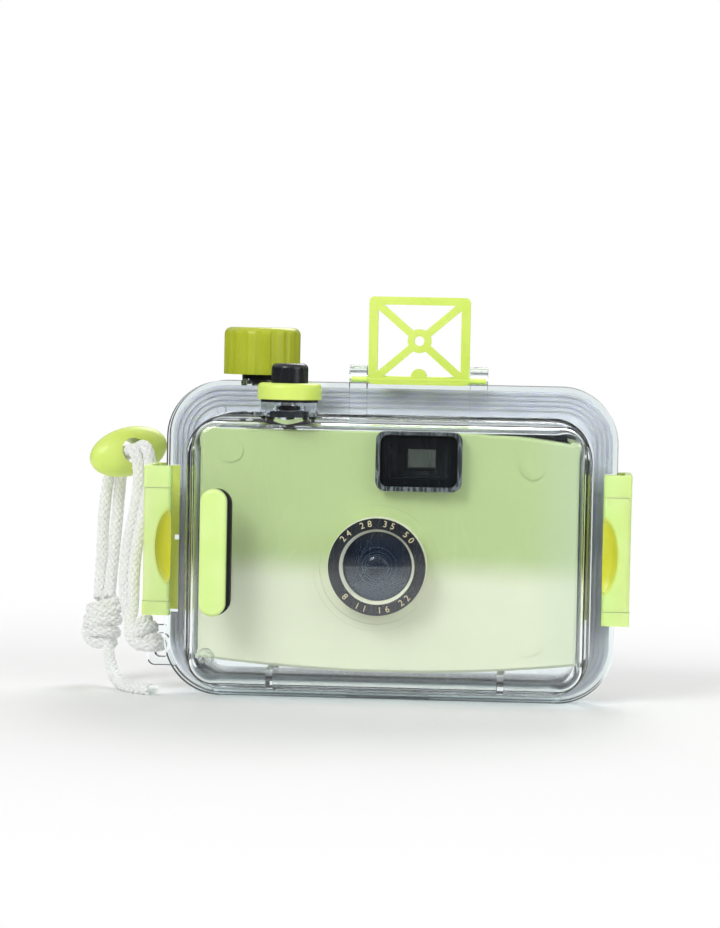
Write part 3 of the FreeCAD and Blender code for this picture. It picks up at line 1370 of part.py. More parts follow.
def build_camera_skins():
    """Front cover, film door with hinge pin and latch, pressure plate, screws and eyepiece."""
    cover = new_body("front_cover")
    pad(cover, "front", [camera_outline(0.0, d.camera_top, True)], -d.camera_front, -cover_back)
    bevel_edges(cover, d.cover_bevel, in_plane("Y", -float(d.camera_front)))
    marks = (
        (-camera_half + d.mark_left_inset, d.camera_top - d.mark_left_drop),
        (camera_half - d.mark_right_inset, d.camera_top - d.mark_right_drop),
        (camera_half - d.mark_right_inset, d.camera_bottom + d.mark_low_rise),
    )
    for across, up in marks:
        level = -d.camera_front
        disc = [Disc(across, up, d.cover_mark_radius)]
        pad(cover, "front", disc, level - d.cover_mark_height, level + d.cover_thick / 2)
    inner = camera_outline(d.cover_thick, d.camera_top - d.cover_thick, True)
    pocket(cover, "front", [inner], -d.camera_front + d.cover_thick, -cover_back)
    lens_hole = [Disc(d.lens_place, d.lens_level, d.cover_hole)]
    pocket(cover, "front", lens_hole, -d.camera_front - 1, -chassis_front)
    opening = finder_rectangle(d.mask_width + 2 * d.fit_gap, d.mask_height + 2 * d.fit_gap)
    pocket(cover, "front", [opening], -d.camera_front, -chassis_front)
    hole = [Disc(d.button_place, release_place, d.release_radius + d.fit_gap)]
    pocket(cover, "top", hole, d.camera_top - 2 * d.cover_thick, d.camera_top)
    node("front_cover", cover)

    door = new_body("film_door")
    pad(door, "front", [camera_outline(0.0, d.door_top, False)], d.chassis_back, door_back)
    clear = [Disc(hinge_across, hinge_deep - 1.3, d.hinge_pin + d.run_gap)]
    pad(door, "top", [Disc(hinge_across, hinge_deep, d.hinge_radius)], d.hinge_bottom + 0.2, d.hinge_top - 0.2)
    pocket(door, "top", clear, d.hinge_bottom + 0.2, d.hinge_top - 0.2)
    node("film_door", door)
    pin_axis = (hinge_across, hinge_deep - 1.3)
    pin = rod("door_hinge_pin", "z", pin_axis, d.hinge_pin, d.hinge_bottom - 2.0, d.hinge_top + 2.0)
    node("door_hinge_pin", pin)
    slide_low, slide_high = d.latch_slide_bottom, d.latch_slide_bottom + d.latch_slide_length
    slide_face = -camera_half - d.latch_slide_reach
    slide_floor = -camera_half + d.latch_slide_depth - d.fit_gap
    tongue = box(
        "slide_tongue",
        (-camera_half + 2 * d.fit_gap, slide_floor),
        (d.latch_slide_place - d.latch_slide_width / 2, d.latch_slide_place + d.latch_slide_width / 2),
        (slide_low, slide_high),
    )
    thumb = box(
        "slide_thumb",
        (slide_face, -camera_half + 3 * d.fit_gap),
        (d.latch_slide_place - d.thumb_width / 2, d.latch_slide_place + d.thumb_width / 2),
        (slide_low + d.thumb_margin, slide_high - d.thumb_margin),
    )
    node("door_latch", joined("door_latch", tongue, thumb))
    plate_low, plate_high = film_plane + 2 * d.fit_gap, film_plane + 2 * d.fit_gap + d.plate_thick
    plate = box(
        "pressure_plate",
        (gate_left - 1.5, gate_right + 1.5),
        (plate_low, plate_high),
        (d.lens_level - d.channel_height / 2 + 2, d.lens_level + d.channel_height / 2 - 2),
    )
    node("pressure_plate", plate)
    strip_half = 2.5
    leaf = box(
        "plate_spring",
        (gate_left + 6, gate_right - 6),
        (plate_high, d.chassis_back),
        (d.lens_level - strip_half, d.lens_level + strip_half),
    )
    node("plate_spring", leaf)
    screws = []
    for number, place in enumerate(screw_places):
        axis = (place, d.screw_level)
        shank_low = door_back - d.screw_length + d.fit_gap
        shank = rod(f"screw_shank_{number}", "y", axis, d.screw_shank, shank_low, door_back + 0.2)
        head = rod(f"screw_head_{number}", "y", axis, d.screw_head, door_back, door_back + d.screw_head_thick)
        slot = box(
            f"screw_slot_{number}",
            (place - d.screw_head - 1, place + d.screw_head + 1),
            (door_back + d.screw_head_thick / 2, door_back + d.screw_head_thick + 1),
            (d.screw_level - 0.3, d.screw_level + 0.3),
        )
        screws.append(less(f"screw_{number}", joined(f"screw_whole_{number}", shank, head), slot))
    group = doc.addObject("Part::Compound", "top_screws")
    group.Links = screws
    node("top_screws", group)
    pads = []
    for side in (-1, 1):
        middle = side * d.pad_place
        pads.append(
            box(
                f"foam_{side + 1}",
                (middle - d.pad_width / 2, middle + d.pad_width / 2),
                (door_back + d.fit_gap, d.case_rear - d.case_wall),
                (d.lens_level - d.pad_height / 2, d.lens_level + d.pad_height / 2),
            )
        )
    foam = doc.addObject("Part::Compound", "rear_pads")
    foam.Links = pads
    node("rear_pads", foam)


def build_lens():
    """Name ring, barrel, lens elements, shutter base and blade."""
    axis = (d.lens_place, d.lens_level)
    ring_back = -d.ring_front + d.ring_thick
    ring = new_body("lens_ring")
    pad(ring, "front", [Disc(*axis, d.ring_radius), Disc(*axis, d.ring_mouth)], -d.ring_front, ring_back)
    round_edges(ring, 3 * d.fit_gap, in_plane("Y", -float(d.ring_front)))
    node("lens_ring", ring)
    outer = rod("barrel_tube", "y", axis, d.barrel_tube, ring_back, -d.camera_front)
    neck = rod("barrel_neck", "y", axis, d.barrel_neck, -d.camera_front - 0.2, -chassis_front)
    mouth = doc.addObject("Part::Cone", "barrel_mouth")
    mouth.Placement = FreeCAD.Placement(FreeCAD.Vector(), TURNS["y"])
    seat_radius = d.lens_radius + d.run_gap
    bind(mouth, "Radius1", d.barrel_mouth)
    bind(mouth, "Radius2", seat_radius)
    bind(mouth, "Height", -ring_back - d.lens_edge - d.fit_gap)
    for letter, place in zip("xyz", (d.lens_place, ring_back, d.lens_level)):
        bind(mouth, f"Placement.Base.{letter}", place)
    seat = rod("barrel_seat", "y", axis, seat_radius, -d.lens_edge - d.fit_gap, -d.lens_back)
    well = rod("barrel_well", "y", axis, d.lens_bore, -d.lens_back - 1, -chassis_front + 1)
    node("lens_barrel", less("lens_barrel", joined("barrel_whole", outer, neck), mouth, seat, well))
    blank = rod("lens_blank", "y", axis, d.lens_radius, -d.lens_front - 1, -d.lens_back)
    ball = doc.addObject("Part::Sphere", "lens_ball")
    bind(ball, "Radius", d.lens_curve)
    for letter, place in zip("xyz", (d.lens_place, -d.lens_front + d.lens_curve, d.lens_level)):
        bind(ball, f"Placement.Base.{letter}", place)
    dome = doc.addObject("Part::MultiCommon", "front_lens")
    dome.Shapes = [blank, ball]
    node("front_lens", dome)
    base_back = -d.shutter_front + d.shutter_thick
    base = rod("shutter_disc", "y", axis, d.lens_bore - d.fit_gap, -d.shutter_front, base_back)
    hole = rod("shutter_hole", "y", axis, d.aperture_radius, -d.shutter_front - 1, base_back + 1)
    pivot = (d.lens_place + d.blade_reach_side, d.lens_level + d.blade_reach_up)
    post = rod("blade_post", "y", pivot, d.blade_pin, base_back - 0.4, base_back + 2.0)
    ridges = [
        tube(
            f"shutter_ridge_{number}",
            "y",
            axis,
            d.aperture_radius * (number + 1),
            d.aperture_radius * (number + 1) - d.shutter_ridge,
            -d.shutter_front - d.shutter_ridge_rise,
            -d.shutter_front + 0.2,
        )
        for number in (1, 2, 3)
    ]
    node("shutter_base", less("shutter_base", joined("shutter_whole", base, post, *ridges), hole))
    blade_front = base_back + 4 * d.fit_gap
    blade_back = blade_front + d.blade_thick
    blade = new_body("shutter_blade")
    pad(blade, "front", [Disc(*axis, d.blade_radius)], blade_front, blade_back)
    pad(blade, "front", [Disc(*pivot, 2 * d.blade_pin)], blade_front, blade_back)
    reach = root(d.blade_reach_side * d.blade_reach_side + d.blade_reach_up * d.blade_reach_up)
    off_across = d.blade_reach_up / reach
    off_up = d.blade_reach_side / reach
    arm = Outline(axis[0] + off_across, axis[1] - off_up)
    arm.line(pivot[0] + off_across, pivot[1] - off_up).line(pivot[0] - off_across, pivot[1] + off_up)
    arm.line(axis[0] - off_across, axis[1] + off_up).line(axis[0] + off_across, axis[1] - off_up)
    pad(blade, "front", [arm], blade_front, blade_back)
    pocket(blade, "front", [Disc(*pivot, d.blade_pin + d.run_gap)], blade_front, blade_back)
    node("shutter_blade", blade)
    glass_back = -d.rear_lens_front + d.rear_lens_thick
    node("rear_lens", rod("rear_lens", "y", axis, d.rear_lens_radius, -d.rear_lens_front, glass_back))


def build_finder():
    """Clear bezel, window, black mask and eyepiece of the viewfinder."""
    bezel = new_body("finder_bezel")
    rim = [
        finder_rectangle(d.bezel_width, d.bezel_height, d.bezel_corner),
        finder_rectangle(d.finder_width, d.finder_height, d.finder_corner),
    ]
    pad(bezel, "front", rim, -d.bezel_front, -d.camera_front)
    node("finder_bezel", bezel)
    inset = 2 * d.fit_gap
    window_back = -d.bezel_front + 2 * d.fit_gap + d.window_thick
    window = new_body("finder_window")
    glass = finder_rectangle(d.finder_width - inset, d.finder_height - inset, d.finder_corner)
    pad(window, "front", [glass], -d.bezel_front + 2 * d.fit_gap, window_back)
    node("finder_window", window)
    mask = new_body("finder_mask")
    hood = finder_rectangle(d.finder_width - inset, d.finder_height - inset, d.finder_corner)
    pad(mask, "front", [hood], window_back, -d.camera_front)
    outer = finder_rectangle(d.mask_width - inset, d.mask_height - inset, d.mask_corner)
    pad(mask, "front", [outer], -d.camera_front - 1.0, -d.mask_back)
    wall = inset + 2 * d.mask_wall
    inner = finder_rectangle(d.mask_width - wall, d.mask_height - wall, d.mask_corner / 2)
    pocket(mask, "front", [inner], window_back, -d.mask_step)
    step = finder_rectangle(d.mask_step_width, d.mask_step_height, d.mask_corner / 2)
    pocket(mask, "front", [step], -d.mask_step, -d.mask_back - d.mask_wall)
    view = finder_rectangle(d.tunnel_width, d.tunnel_height)
    pocket(mask, "front", [view], -d.mask_back - 2 * d.mask_wall, -d.mask_back)
    node("finder_mask", mask)
    rim_size = 2 * d.eyepiece_rim
    eye = new_body("eyepiece")
    pane = finder_rectangle(d.tunnel_width + rim_size, d.tunnel_height + rim_size)
    eye_back = door_back - d.fit_gap
    pad(eye, "front", [pane], eye_back - d.eyepiece_thick, eye_back)
    node("eyepiece", eye)


# Wrist strap: two strands run from the eyelet up in front of the float, through its hole and
# down behind it into the end knot, and a tail leaves that knot along the floor.
FLOAT_CENTRE = (-80.6, 22.6, 69.2)
FLOAT_YAW = 28.0
FLOAT_TILT = 16.0
END_KNOT_CENTRE = (-86.9, 17.6, 18.6)
HITCH_CENTRE = (-77.3, 10.6, 19.8)
STRAND_LEFT = [
    (-67.4, 3.6, 13.3),
    (-67.4, 6.7, 13.3),
    (-69.5, 9.0, 13.5),
    (-72.7, 9.7, 14.2),
    (-76.0, 11.4, 16.6),
    (-78.7, 13.6, 20.8),
    (-80.0, 14.8, 26.4),
    (-80.2, 15.2, 33.5),
    (-79.6, 15.3, 41.0),
    (-78.2, 14.8, 48.0),
    (-76.7, 13.7, 55.0),
    (-76.0, 12.7, 61.0),
    (-76.1, 12.2, 65.4),
    (-76.9, 12.6, 68.6),
    (-78.2, 14.6, 70.4),
    (-79.6, 17.2, 69.9),
    (-82.0, 21.8, 68.9),
    (-84.4, 26.6, 67.9),
    (-86.0, 29.4, 66.6),
    (-87.2, 30.6, 63.4),
    (-88.2, 30.4, 57.0),
    (-88.6, 28.0, 48.5),
    (-88.4, 25.0, 40.0),
    (-88.4, 22.2, 32.6),
    (-88.4, 20.2, 25.2),
]
STRAND_RIGHT = [
    (-67.4, 3.6, 13.3),
    (-67.4, 0.3, 13.3),
    (-69.4, -2.1, 13.3),
    (-72.5, -2.6, 13.7),
    (-75.4, -1.0, 14.6),
    (-77.2, 4.9, 17.6),
    (-76.9, 11.0, 23.2),
    (-77.1, 12.4, 30.0),
    (-76.8, 12.5, 37.5),
    (-75.7, 12.4, 45.0),
    (-74.1, 12.0, 52.5),
    (-72.6, 11.7, 59.5),
    (-72.5, 11.6, 65.0),
    (-73.0, 12.0, 69.2),
    (-74.6, 14.4, 71.6),
    (-76.6, 18.2, 70.9),
    (-79.2, 23.4, 69.7),
    (-81.6, 28.2, 68.7),
    (-82.9, 31.0, 67.4),
    (-83.8, 32.2, 64.2),
    (-84.4, 32.0, 57.6),
    (-84.6, 29.0, 48.5),
    (-84.8, 25.2, 40.0),
    (-85.0, 21.4, 32.6),
    (-85.0, 17.6, 25.6),
]
TAIL = [
    (-85.4, 15.6, 13.2),
    (-84.4, 12.8, 9.2),
    (-82.8, 9.0, 5.2),
    (-80.6, 3.8, 2.4),
    (-77.6, -2.6, 1.7),
    (-73.8, -8.2, 1.7),
    (-68.6, -11.6, 1.8),
]


def tangent_path(points):
    """Straight runs joined by tangent arcs; returns the wire and the arcs' radii."""
    spots = [FreeCAD.Vector(*p) for p in points]
    runs = [(b - a).Length for a, b in zip(spots, spots[1:])]
    edges = []
    radii = []
    at = spots[0]
    for index in range(1, len(spots) - 1):
        before = (spots[index] - spots[index - 1]).normalize()
        after = (spots[index + 1] - spots[index]).normalize()
        turn = before.getAngle(after)
        step = 0.45 * min(runs[index - 1], runs[index])
        radii.append(step / math.tan(turn / 2))
        enter = spots[index] - before * step
        leave = spots[index] + after * step
        edges.append(Part.LineSegment(at, enter).toShape())
        edges.append(bend(enter, spots[index], leave))
        at = leave
    edges.append(Part.LineSegment(at, spots[-1]).toShape())
    return Part.Wire(edges), radii


def cord_tube(points, radius):
    """Round tube along a route."""
    wire, _radii = tangent_path(points)
    start = FreeCAD.Vector(*points[0])
    along = FreeCAD.Vector(*points[1]) - start
    circle = Part.Wire(Part.Circle(start, along, float(radius)).toShape())
    return wire.makePipeShell([circle], True, False)


def cord(name, points):
    """Cord as a node, with its radii and volume printed for checking."""
    item = doc.addObject("Part::Feature", name)
    item.Shape = cord_tube(points, d.cord_radius)
    wire, radii = tangent_path(points)
    expected = math.pi * d.cord_radius * d.cord_radius * wire.Length
    print(f"{name}: length {wire.Length:.1f} mm, volume / expected {item.Shape.Volume / expected:.4f}")
    print(f"{name}: radii " + " ".join(f"{radius:.1f}" for radius in radii))
    node(name, item)


def ellipsoid(name, centre, width, depth, height, seam=0.0):
    """Ellipsoid with its three diameters along x, y and z, and the angle its surface seam is turned to."""
    item = doc.addObject("Part::Ellipsoid", name)
    item.Placement.Rotation = FreeCAD.Rotation(FreeCAD.Vector(0, 0, 1), seam)
    bind(item, "Radius1", height / 2)
    bind(item, "Radius2", width / 2)
    bind(item, "Radius3", depth / 2)
    for letter, place in zip("xyz", centre):
        bind(item, f"Placement.Base.{letter}", place)
    return item


def cord_way(name, points):
    """Slightly wider tube that leaves a way for a cord in a knot."""
    item = doc.addObject("Part::Feature", name)
    item.Shape = cord_tube(points, d.cord_radius + d.cord_gap)
    return item


def build_strap():
    """Float, the two strands through it, their hitch, the end knot and the tail."""
    turn = FreeCAD.Rotation(FreeCAD.Vector(0, 1, 0), -FLOAT_TILT)
    turn = turn.multiply(FreeCAD.Rotation(FreeCAD.Vector(0, 0, 1), FLOAT_YAW))
    ball = ellipsoid("float_ball", (0.0, 0.0, 0.0), d.float_length, d.float_thick, d.float_height)
    hole = rod("float_hole", "y", (0.0, 0.0), d.float_hole, -d.float_thick, d.float_thick)
    bead = less("strap_float", ball, hole)
    bead.Placement = FreeCAD.Placement(FreeCAD.Vector(*FLOAT_CENTRE), turn)
    node("strap_float", bead)
    cord("strap_strand_left", STRAND_LEFT)
    cord("strap_strand_right", STRAND_RIGHT)
    cord("strap_tail", TAIL)
    near = 9
    hitch = ellipsoid("hitch_ball", HITCH_CENTRE, d.hitch_width, d.hitch_depth, d.hitch_height)
    ways = [cord_way("hitch_way_left", STRAND_LEFT[:near]), cord_way("hitch_way_right", STRAND_RIGHT[:near])]
    node("strap_hitch", less("strap_hitch", hitch, *ways))
    knot = ellipsoid("knot_ball", END_KNOT_CENTRE, d.end_knot_width, d.end_knot_depth, d.end_knot_height, 180.0)
    ways = [
        cord_way("knot_way_left", STRAND_LEFT[-near:]),
        cord_way("knot_way_right", STRAND_RIGHT[-near:]),
        cord_way("knot_way_tail", TAIL),
    ]
    node("strap_end_knot", less("strap_end_knot", knot, *ways))


build_front_shell()
build_rear_shell()
build_seals()
build_shutter_button()
build_wind_drive()
build_transport()
build_sight()
build_grip()
build_latches()
build_camera_body()
build_camera_skins()
build_lens()
build_finder()
build_strap()
doc.recompute()

faults = []
for item in doc.Objects:
    if "Invalid" in item.State or "Error" in item.State:
        faults.append(f"{item.Name}: {item.State}")
    elif item.TypeId.startswith("PartDesign::") and hasattr(item, "Shape") and item.Shape.isNull():
        faults.append(f"{item.Name} has no shape")
    elif item.TypeId == "PartDesign::Pocket" and item.BaseFeature is not None:
        if item.BaseFeature.Shape.Volume - item.Shape.Volume < 0.01:
            faults.append(f"{item.Name} cuts nothing")
for name, item in NODES.items():
    if item.Shape.isNull() or not item.Shape.isValid():
        faults.append(f"{name}: null or invalid shape")
if faults:
    raise RuntimeError("; ".join(faults))

os.makedirs("parts", exist_ok=True)
for name, item in NODES.items():
    item.Shape.exportStep(os.path.join("parts", f"{name}.step"))
print(f"{len(NODES)} pieces written")
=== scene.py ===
"""Looks of a 35 mm film camera in a clear dive housing: finishes, ring figures, wrist strap."""
import logging
import math
import random
from dataclasses import dataclass, field
from enum import Enum
from typing import Optional, Sequence

import bmesh
import bpy
from mathutils import Matrix, Vector


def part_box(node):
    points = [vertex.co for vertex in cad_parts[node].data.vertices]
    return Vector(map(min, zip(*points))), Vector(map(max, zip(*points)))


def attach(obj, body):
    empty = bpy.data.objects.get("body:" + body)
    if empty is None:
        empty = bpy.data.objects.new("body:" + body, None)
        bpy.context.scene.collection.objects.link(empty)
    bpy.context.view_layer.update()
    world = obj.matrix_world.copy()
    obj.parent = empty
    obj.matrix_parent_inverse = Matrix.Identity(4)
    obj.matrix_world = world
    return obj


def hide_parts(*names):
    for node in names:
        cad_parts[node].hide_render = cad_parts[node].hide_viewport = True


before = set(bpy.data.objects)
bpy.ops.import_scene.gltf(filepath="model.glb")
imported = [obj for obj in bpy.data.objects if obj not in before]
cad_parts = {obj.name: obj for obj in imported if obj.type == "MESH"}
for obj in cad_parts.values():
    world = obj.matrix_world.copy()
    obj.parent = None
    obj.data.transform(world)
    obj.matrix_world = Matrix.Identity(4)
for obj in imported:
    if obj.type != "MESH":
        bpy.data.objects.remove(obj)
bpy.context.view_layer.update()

LOG = logging.getLogger("dive_camera")
MM = 0.001
Colour = tuple[float, float, float]
Point = tuple[float, float, float]


class Side(Enum):
    """Which half of the strap's loop a strand is."""

    LEFT = "left"
    RIGHT = "right"


class Arc(Enum):
    """Which half of a ring its figures stand on."""

    TOP = 1
    BOTTOM = -1


def srgb(red: int, green: int, blue: int) -> Colour:
    """Turn a screen colour into scene-linear values.

    Args:
        red, green, blue: the colour, each 0 to 255.

    Returns:
        The linear colour.
    """
    linear = []
    for value in (red, green, blue):
        share = value / 255
        linear.append(share / 12.92 if share <= 0.04045 else ((share + 0.055) / 1.055) ** 2.4)
    return (linear[0], linear[1], linear[2])


def metres(point: Sequence[float]) -> Vector:
    """Turn a place in millimetres into metres."""
    return Vector([value * MM for value in point])


def placed(name: str, data: bpy.types.ID) -> bpy.types.Object:
    """Put a new object into the scene."""
    made = bpy.data.objects.new(name, data)
    bpy.context.scene.collection.objects.link(made)
    return made


def finished_mesh(name: str, work: bmesh.types.BMesh) -> bpy.types.Mesh:
    """Turn worked faces into a mesh, and free them."""
    mesh = bpy.data.meshes.new(name)
    work.to_mesh(mesh)
    work.free()
    return mesh


def swung(side: Vector, other: Vector, angle: float) -> Vector:
    """Direction at an angle between two crosswise directions."""
    return side * math.cos(angle) + other * math.sin(angle)


class Graph:
    """A node tree that is being wired."""

    def __init__(self, tree: bpy.types.NodeTree) -> None:
        """Start with an empty tree."""
        self.tree = tree
        tree.nodes.clear()

    def add(self, kind: str, **values: object) -> bpy.types.Node:
        """Add a node.

        Args:
            kind: the node's type name, such as ShaderNodeMath.
            values: properties of the node, or values for its inputs with _ for a space.

        Returns:
            The new node.
        """
        node = self.tree.nodes.new(kind)
        for name, value in values.items():
            if hasattr(node, name):
                setattr(node, name, value)
            else:
                node.inputs[name.replace("_", " ")].default_value = value
        return node

    def link(self, source: bpy.types.NodeSocket, target: bpy.types.NodeSocket) -> None:
        """Join an output to an input."""
        self.tree.links.new(source, target)

    def give(self, target: bpy.types.NodeSocket, value: object) -> None:
        """Feed an input from a socket, or set it to a plain value."""
        if isinstance(value, bpy.types.NodeSocket):
            self.link(value, target)
        else:
            target.default_value = value

    def math(self, operation: str, first: object, second: object = 0.5) -> bpy.types.NodeSocket:
        """Add a Math node.

        Args:
            operation: the sum to work out.
            first: a socket or a number.
            second: a socket or a number.

        Returns:
            The node's output.
        """
        node = self.add("ShaderNodeMath", operation=operation)
        self.give(node.inputs[0], first)
        self.give(node.inputs[1], second)
        return node.outputs[0]

    def mix(self, share: object, first: object, second: object) -> bpy.types.NodeSocket:
        """Mix two colours.

        Args:
            share: how much of the second colour, a socket or a number.
            first: a colour or a socket.
            second: a colour or a socket.

        Returns:
            The mixed colour.
        """
        node = self.add("ShaderNodeMix", data_type="RGBA")
        self.give(node.inputs[0], share)
        for index, colour in ((6, first), (7, second)):
            self.give(node.inputs[index], (*colour, 1.0) if isinstance(colour, tuple) else colour)
        return node.outputs[2]

    def ramp(self, source: bpy.types.NodeSocket, low: object, high: object) -> bpy.types.NodeSocket:
        """Stretch a value so that low gives 0 and high gives 1, smoothly.

        Args:
            source: the value.
            low: where the ramp starts, a socket or a number.
            high: where it ends, a socket or a number.

        Returns:
            The stretched value.
        """
        node = self.add("ShaderNodeMapRange", interpolation_type="SMOOTHSTEP")
        for name, value in (("Value", source), ("From Min", low), ("From Max", high)):
            self.give(node.inputs[name], value)
        return node.outputs["Result"]

    def place(self) -> bpy.types.NodeSocket:
        """Place on the piece, in metres."""
        return self.add("ShaderNodeTexCoord").outputs["Object"]

    def part(self, axis: str, source: Optional[bpy.types.NodeSocket] = None) -> bpy.types.NodeSocket:
        """One value of a vector: of the place on the piece, if no other is given."""
        node = self.add("ShaderNodeSeparateXYZ")
        self.link(self.place() if source is None else source, node.inputs[0])
        return node.outputs[axis]

    def vector(
        self, operation: str, first: bpy.types.NodeSocket, second: Point = (0.0, 0.0, 0.0)
    ) -> bpy.types.Node:
        """Add a Vector Math node between a socket and a plain vector."""
        node = self.add("ShaderNodeVectorMath", operation=operation)
        self.link(first, node.inputs[0])
        node.inputs[1].default_value = second
        return node

    def distance(self, centre: Point, stretch: Point = (1.0, 1.0, 1.0)) -> bpy.types.NodeSocket:
        """Distance from a place, with each axis stretched first.

        Args:
            centre: the place, in metres.
            stretch: factor along each axis; 0 leaves an axis out.

        Returns:
            The distance in metres.
        """
        offset = self.vector("SUBTRACT", self.place(), centre)
        scaled = self.vector("MULTIPLY", offset.outputs[0], stretch)
        return self.vector("LENGTH", scaled.outputs[0]).outputs["Value"]

    def rays(self) -> tuple[bpy.types.NodeSocket, bpy.types.NodeSocket]:
        """Masks of the rays that show a surface straight or through glass, and of mirrored rays."""
        path = self.add("ShaderNodeLightPath")
        shown = self.math("MAXIMUM", path.outputs["Is Camera Ray"], path.outputs["Is Transmission Ray"])
        return shown, self.math("GREATER_THAN", path.outputs["Glossy Depth"], 0.5)


class SharedEffects:
    """Node groups that several finishes use."""

    def __init__(self) -> None:
        """Build every group."""
        self.grain = self._grain()
        self.clouds = self._clouds()
        self.scuffs = self._scuffs()

    @staticmethod
    def _group(
        name: str, output: str, **inputs: float
    ) -> tuple[Graph, bpy.types.Node, bpy.types.NodeSocket]:
        """Start a group.

        Args:
            name: the group's name.
            output: name of its output.
            inputs: usual values of its inputs by name.

        Returns:
            The group's Graph, its input node and the socket that takes its result.
        """
        tree = bpy.data.node_groups.new(name, "ShaderNodeTree")
        for title, value in inputs.items():
            socket = tree.interface.new_socket(title, in_out="INPUT", socket_type="NodeSocketFloat")
            socket.default_value = value
        tree.interface.new_socket(output, in_out="OUTPUT", socket_type="NodeSocketFloat")
        graph = Graph(tree)
        return graph, graph.add("NodeGroupInput"), graph.add("NodeGroupOutput").inputs[output]

    def _grain(self) -> bpy.types.NodeTree:
        """Fine moulded grain as a height."""
        graph, given, result = self._group("moulded_grain", "Height", Scale=900.0, Detail=3.0)
        noise = graph.add("ShaderNodeTexNoise", Roughness=0.6)
        graph.link(graph.place(), noise.inputs["Vector"])
        graph.link(given.outputs["Scale"], noise.inputs["Scale"])
        graph.link(given.outputs["Detail"], noise.inputs["Detail"])
        graph.link(noise.outputs["Fac"], result)
        return graph.tree

    def _clouds(self) -> bpy.types.NodeTree:
        """Slow variation over a piece as a mask."""
        graph, given, result = self._group("slow_clouds", "Mask", Scale=40.0, Low=0.35, High=0.65)
        noise = graph.add("ShaderNodeTexNoise", Detail=2.0)
        graph.link(graph.place(), noise.inputs["Vector"])
        graph.link(given.outputs["Scale"], noise.inputs["Scale"])
        graph.link(graph.ramp(noise.outputs["Fac"], given.outputs["Low"], given.outputs["High"]), result)
        return graph.tree

    def _scuffs(self) -> bpy.types.NodeTree:
        """Fine hairline scuffs as a mask."""
        graph, given, result = self._group("hairline_scuffs", "Mask", Scale=260.0, Share=0.02)
        drawn_out = graph.vector("MULTIPLY", graph.place(), (1.0, 1.0, 0.12))
        cells = graph.add("ShaderNodeTexVoronoi", feature="DISTANCE_TO_EDGE")
        graph.link(drawn_out.outputs[0], cells.inputs["Vector"])
        graph.link(given.outputs["Scale"], cells.inputs["Scale"])
        graph.link(graph.math("LESS_THAN", cells.outputs["Distance"], given.outputs["Share"]), result)
        return graph.tree


class Finish:
    """A material being wired round one Principled shader."""

    def __init__(self, name: str) -> None:
        """Make the material with its shader and output."""
        self.material = bpy.data.materials.new(name)
        self.material.use_nodes = True
        self.graph = Graph(self.material.node_tree)
        self.shader = self.graph.add("ShaderNodeBsdfPrincipled")
        self.output = self.graph.add("ShaderNodeOutputMaterial")
        self.graph.link(self.shader.outputs[0], self.output.inputs["Surface"])

    def set(self, **values: object) -> None:
        """Set plain values on the shader; _ stands for a space."""
        for name, value in values.items():
            self.shader.inputs[name.replace("_", " ")].default_value = value

    def feed(self, name: str, source: bpy.types.NodeSocket) -> None:
        """Join a varying colour or value to one of the shader's inputs."""
        self.graph.link(source, self.shader.inputs[name])

    def effect(self, tree: bpy.types.NodeTree, **values: float) -> bpy.types.NodeSocket:
        """Place a shared effect.

        Args:
            tree: the effect.
            values: its inputs.

        Returns:
            The effect's mask or height.
        """
        node = self.graph.add("ShaderNodeGroup", node_tree=tree)
        for name, value in values.items():
            node.inputs[name].default_value = value
        return node.outputs[0]

    def roughen(
        self, base: float, mask: bpy.types.NodeSocket, spread: float,
        worn: Optional[bpy.types.NodeSocket] = None, wear: float = 0.0,
    ) -> None:
        """Vary the roughness.

        Args:
            base: roughness where both masks are 0.
            mask: where the roughness rises.
            spread: how far it rises there.
            worn: mask of the scuffs, if there are any.
            wear: how far it rises in them.
        """
        rough = self.graph.math("ADD", self.graph.math("MULTIPLY", mask, spread), base)
        if worn is not None:
            rough = self.graph.math("ADD", rough, self.graph.math("MULTIPLY", worn, wear))
        self.feed("Roughness", rough)

    def bump(self, height: bpy.types.NodeSocket, depth: float, strength: float = 1.0) -> None:
        """Raise the surface by a height.

        Args:
            height: the height, 0 to 1.
            depth: how far 1 stands out, in metres.
            strength: share of the effect.
        """
        node = self.graph.add("ShaderNodeBump", Strength=strength, Distance=depth)
        self.graph.link(height, node.inputs["Height"])
        self.feed("Normal", node.outputs[0])


@dataclass(frozen=True)
class Look:
    """What a material is made from."""

    name: str

    def wire(self, finish: Finish, effects: SharedEffects) -> None:
        """Wire the nodes round the shader."""
        raise NotImplementedError

    def build(self, effects: SharedEffects) -> bpy.types.Material:
        """Make the material.

        Args:
            effects: the shared node groups.

        Returns:
            The material.
        """
        finish = Finish(self.name)
        self.wire(finish, effects)
        return finish.material


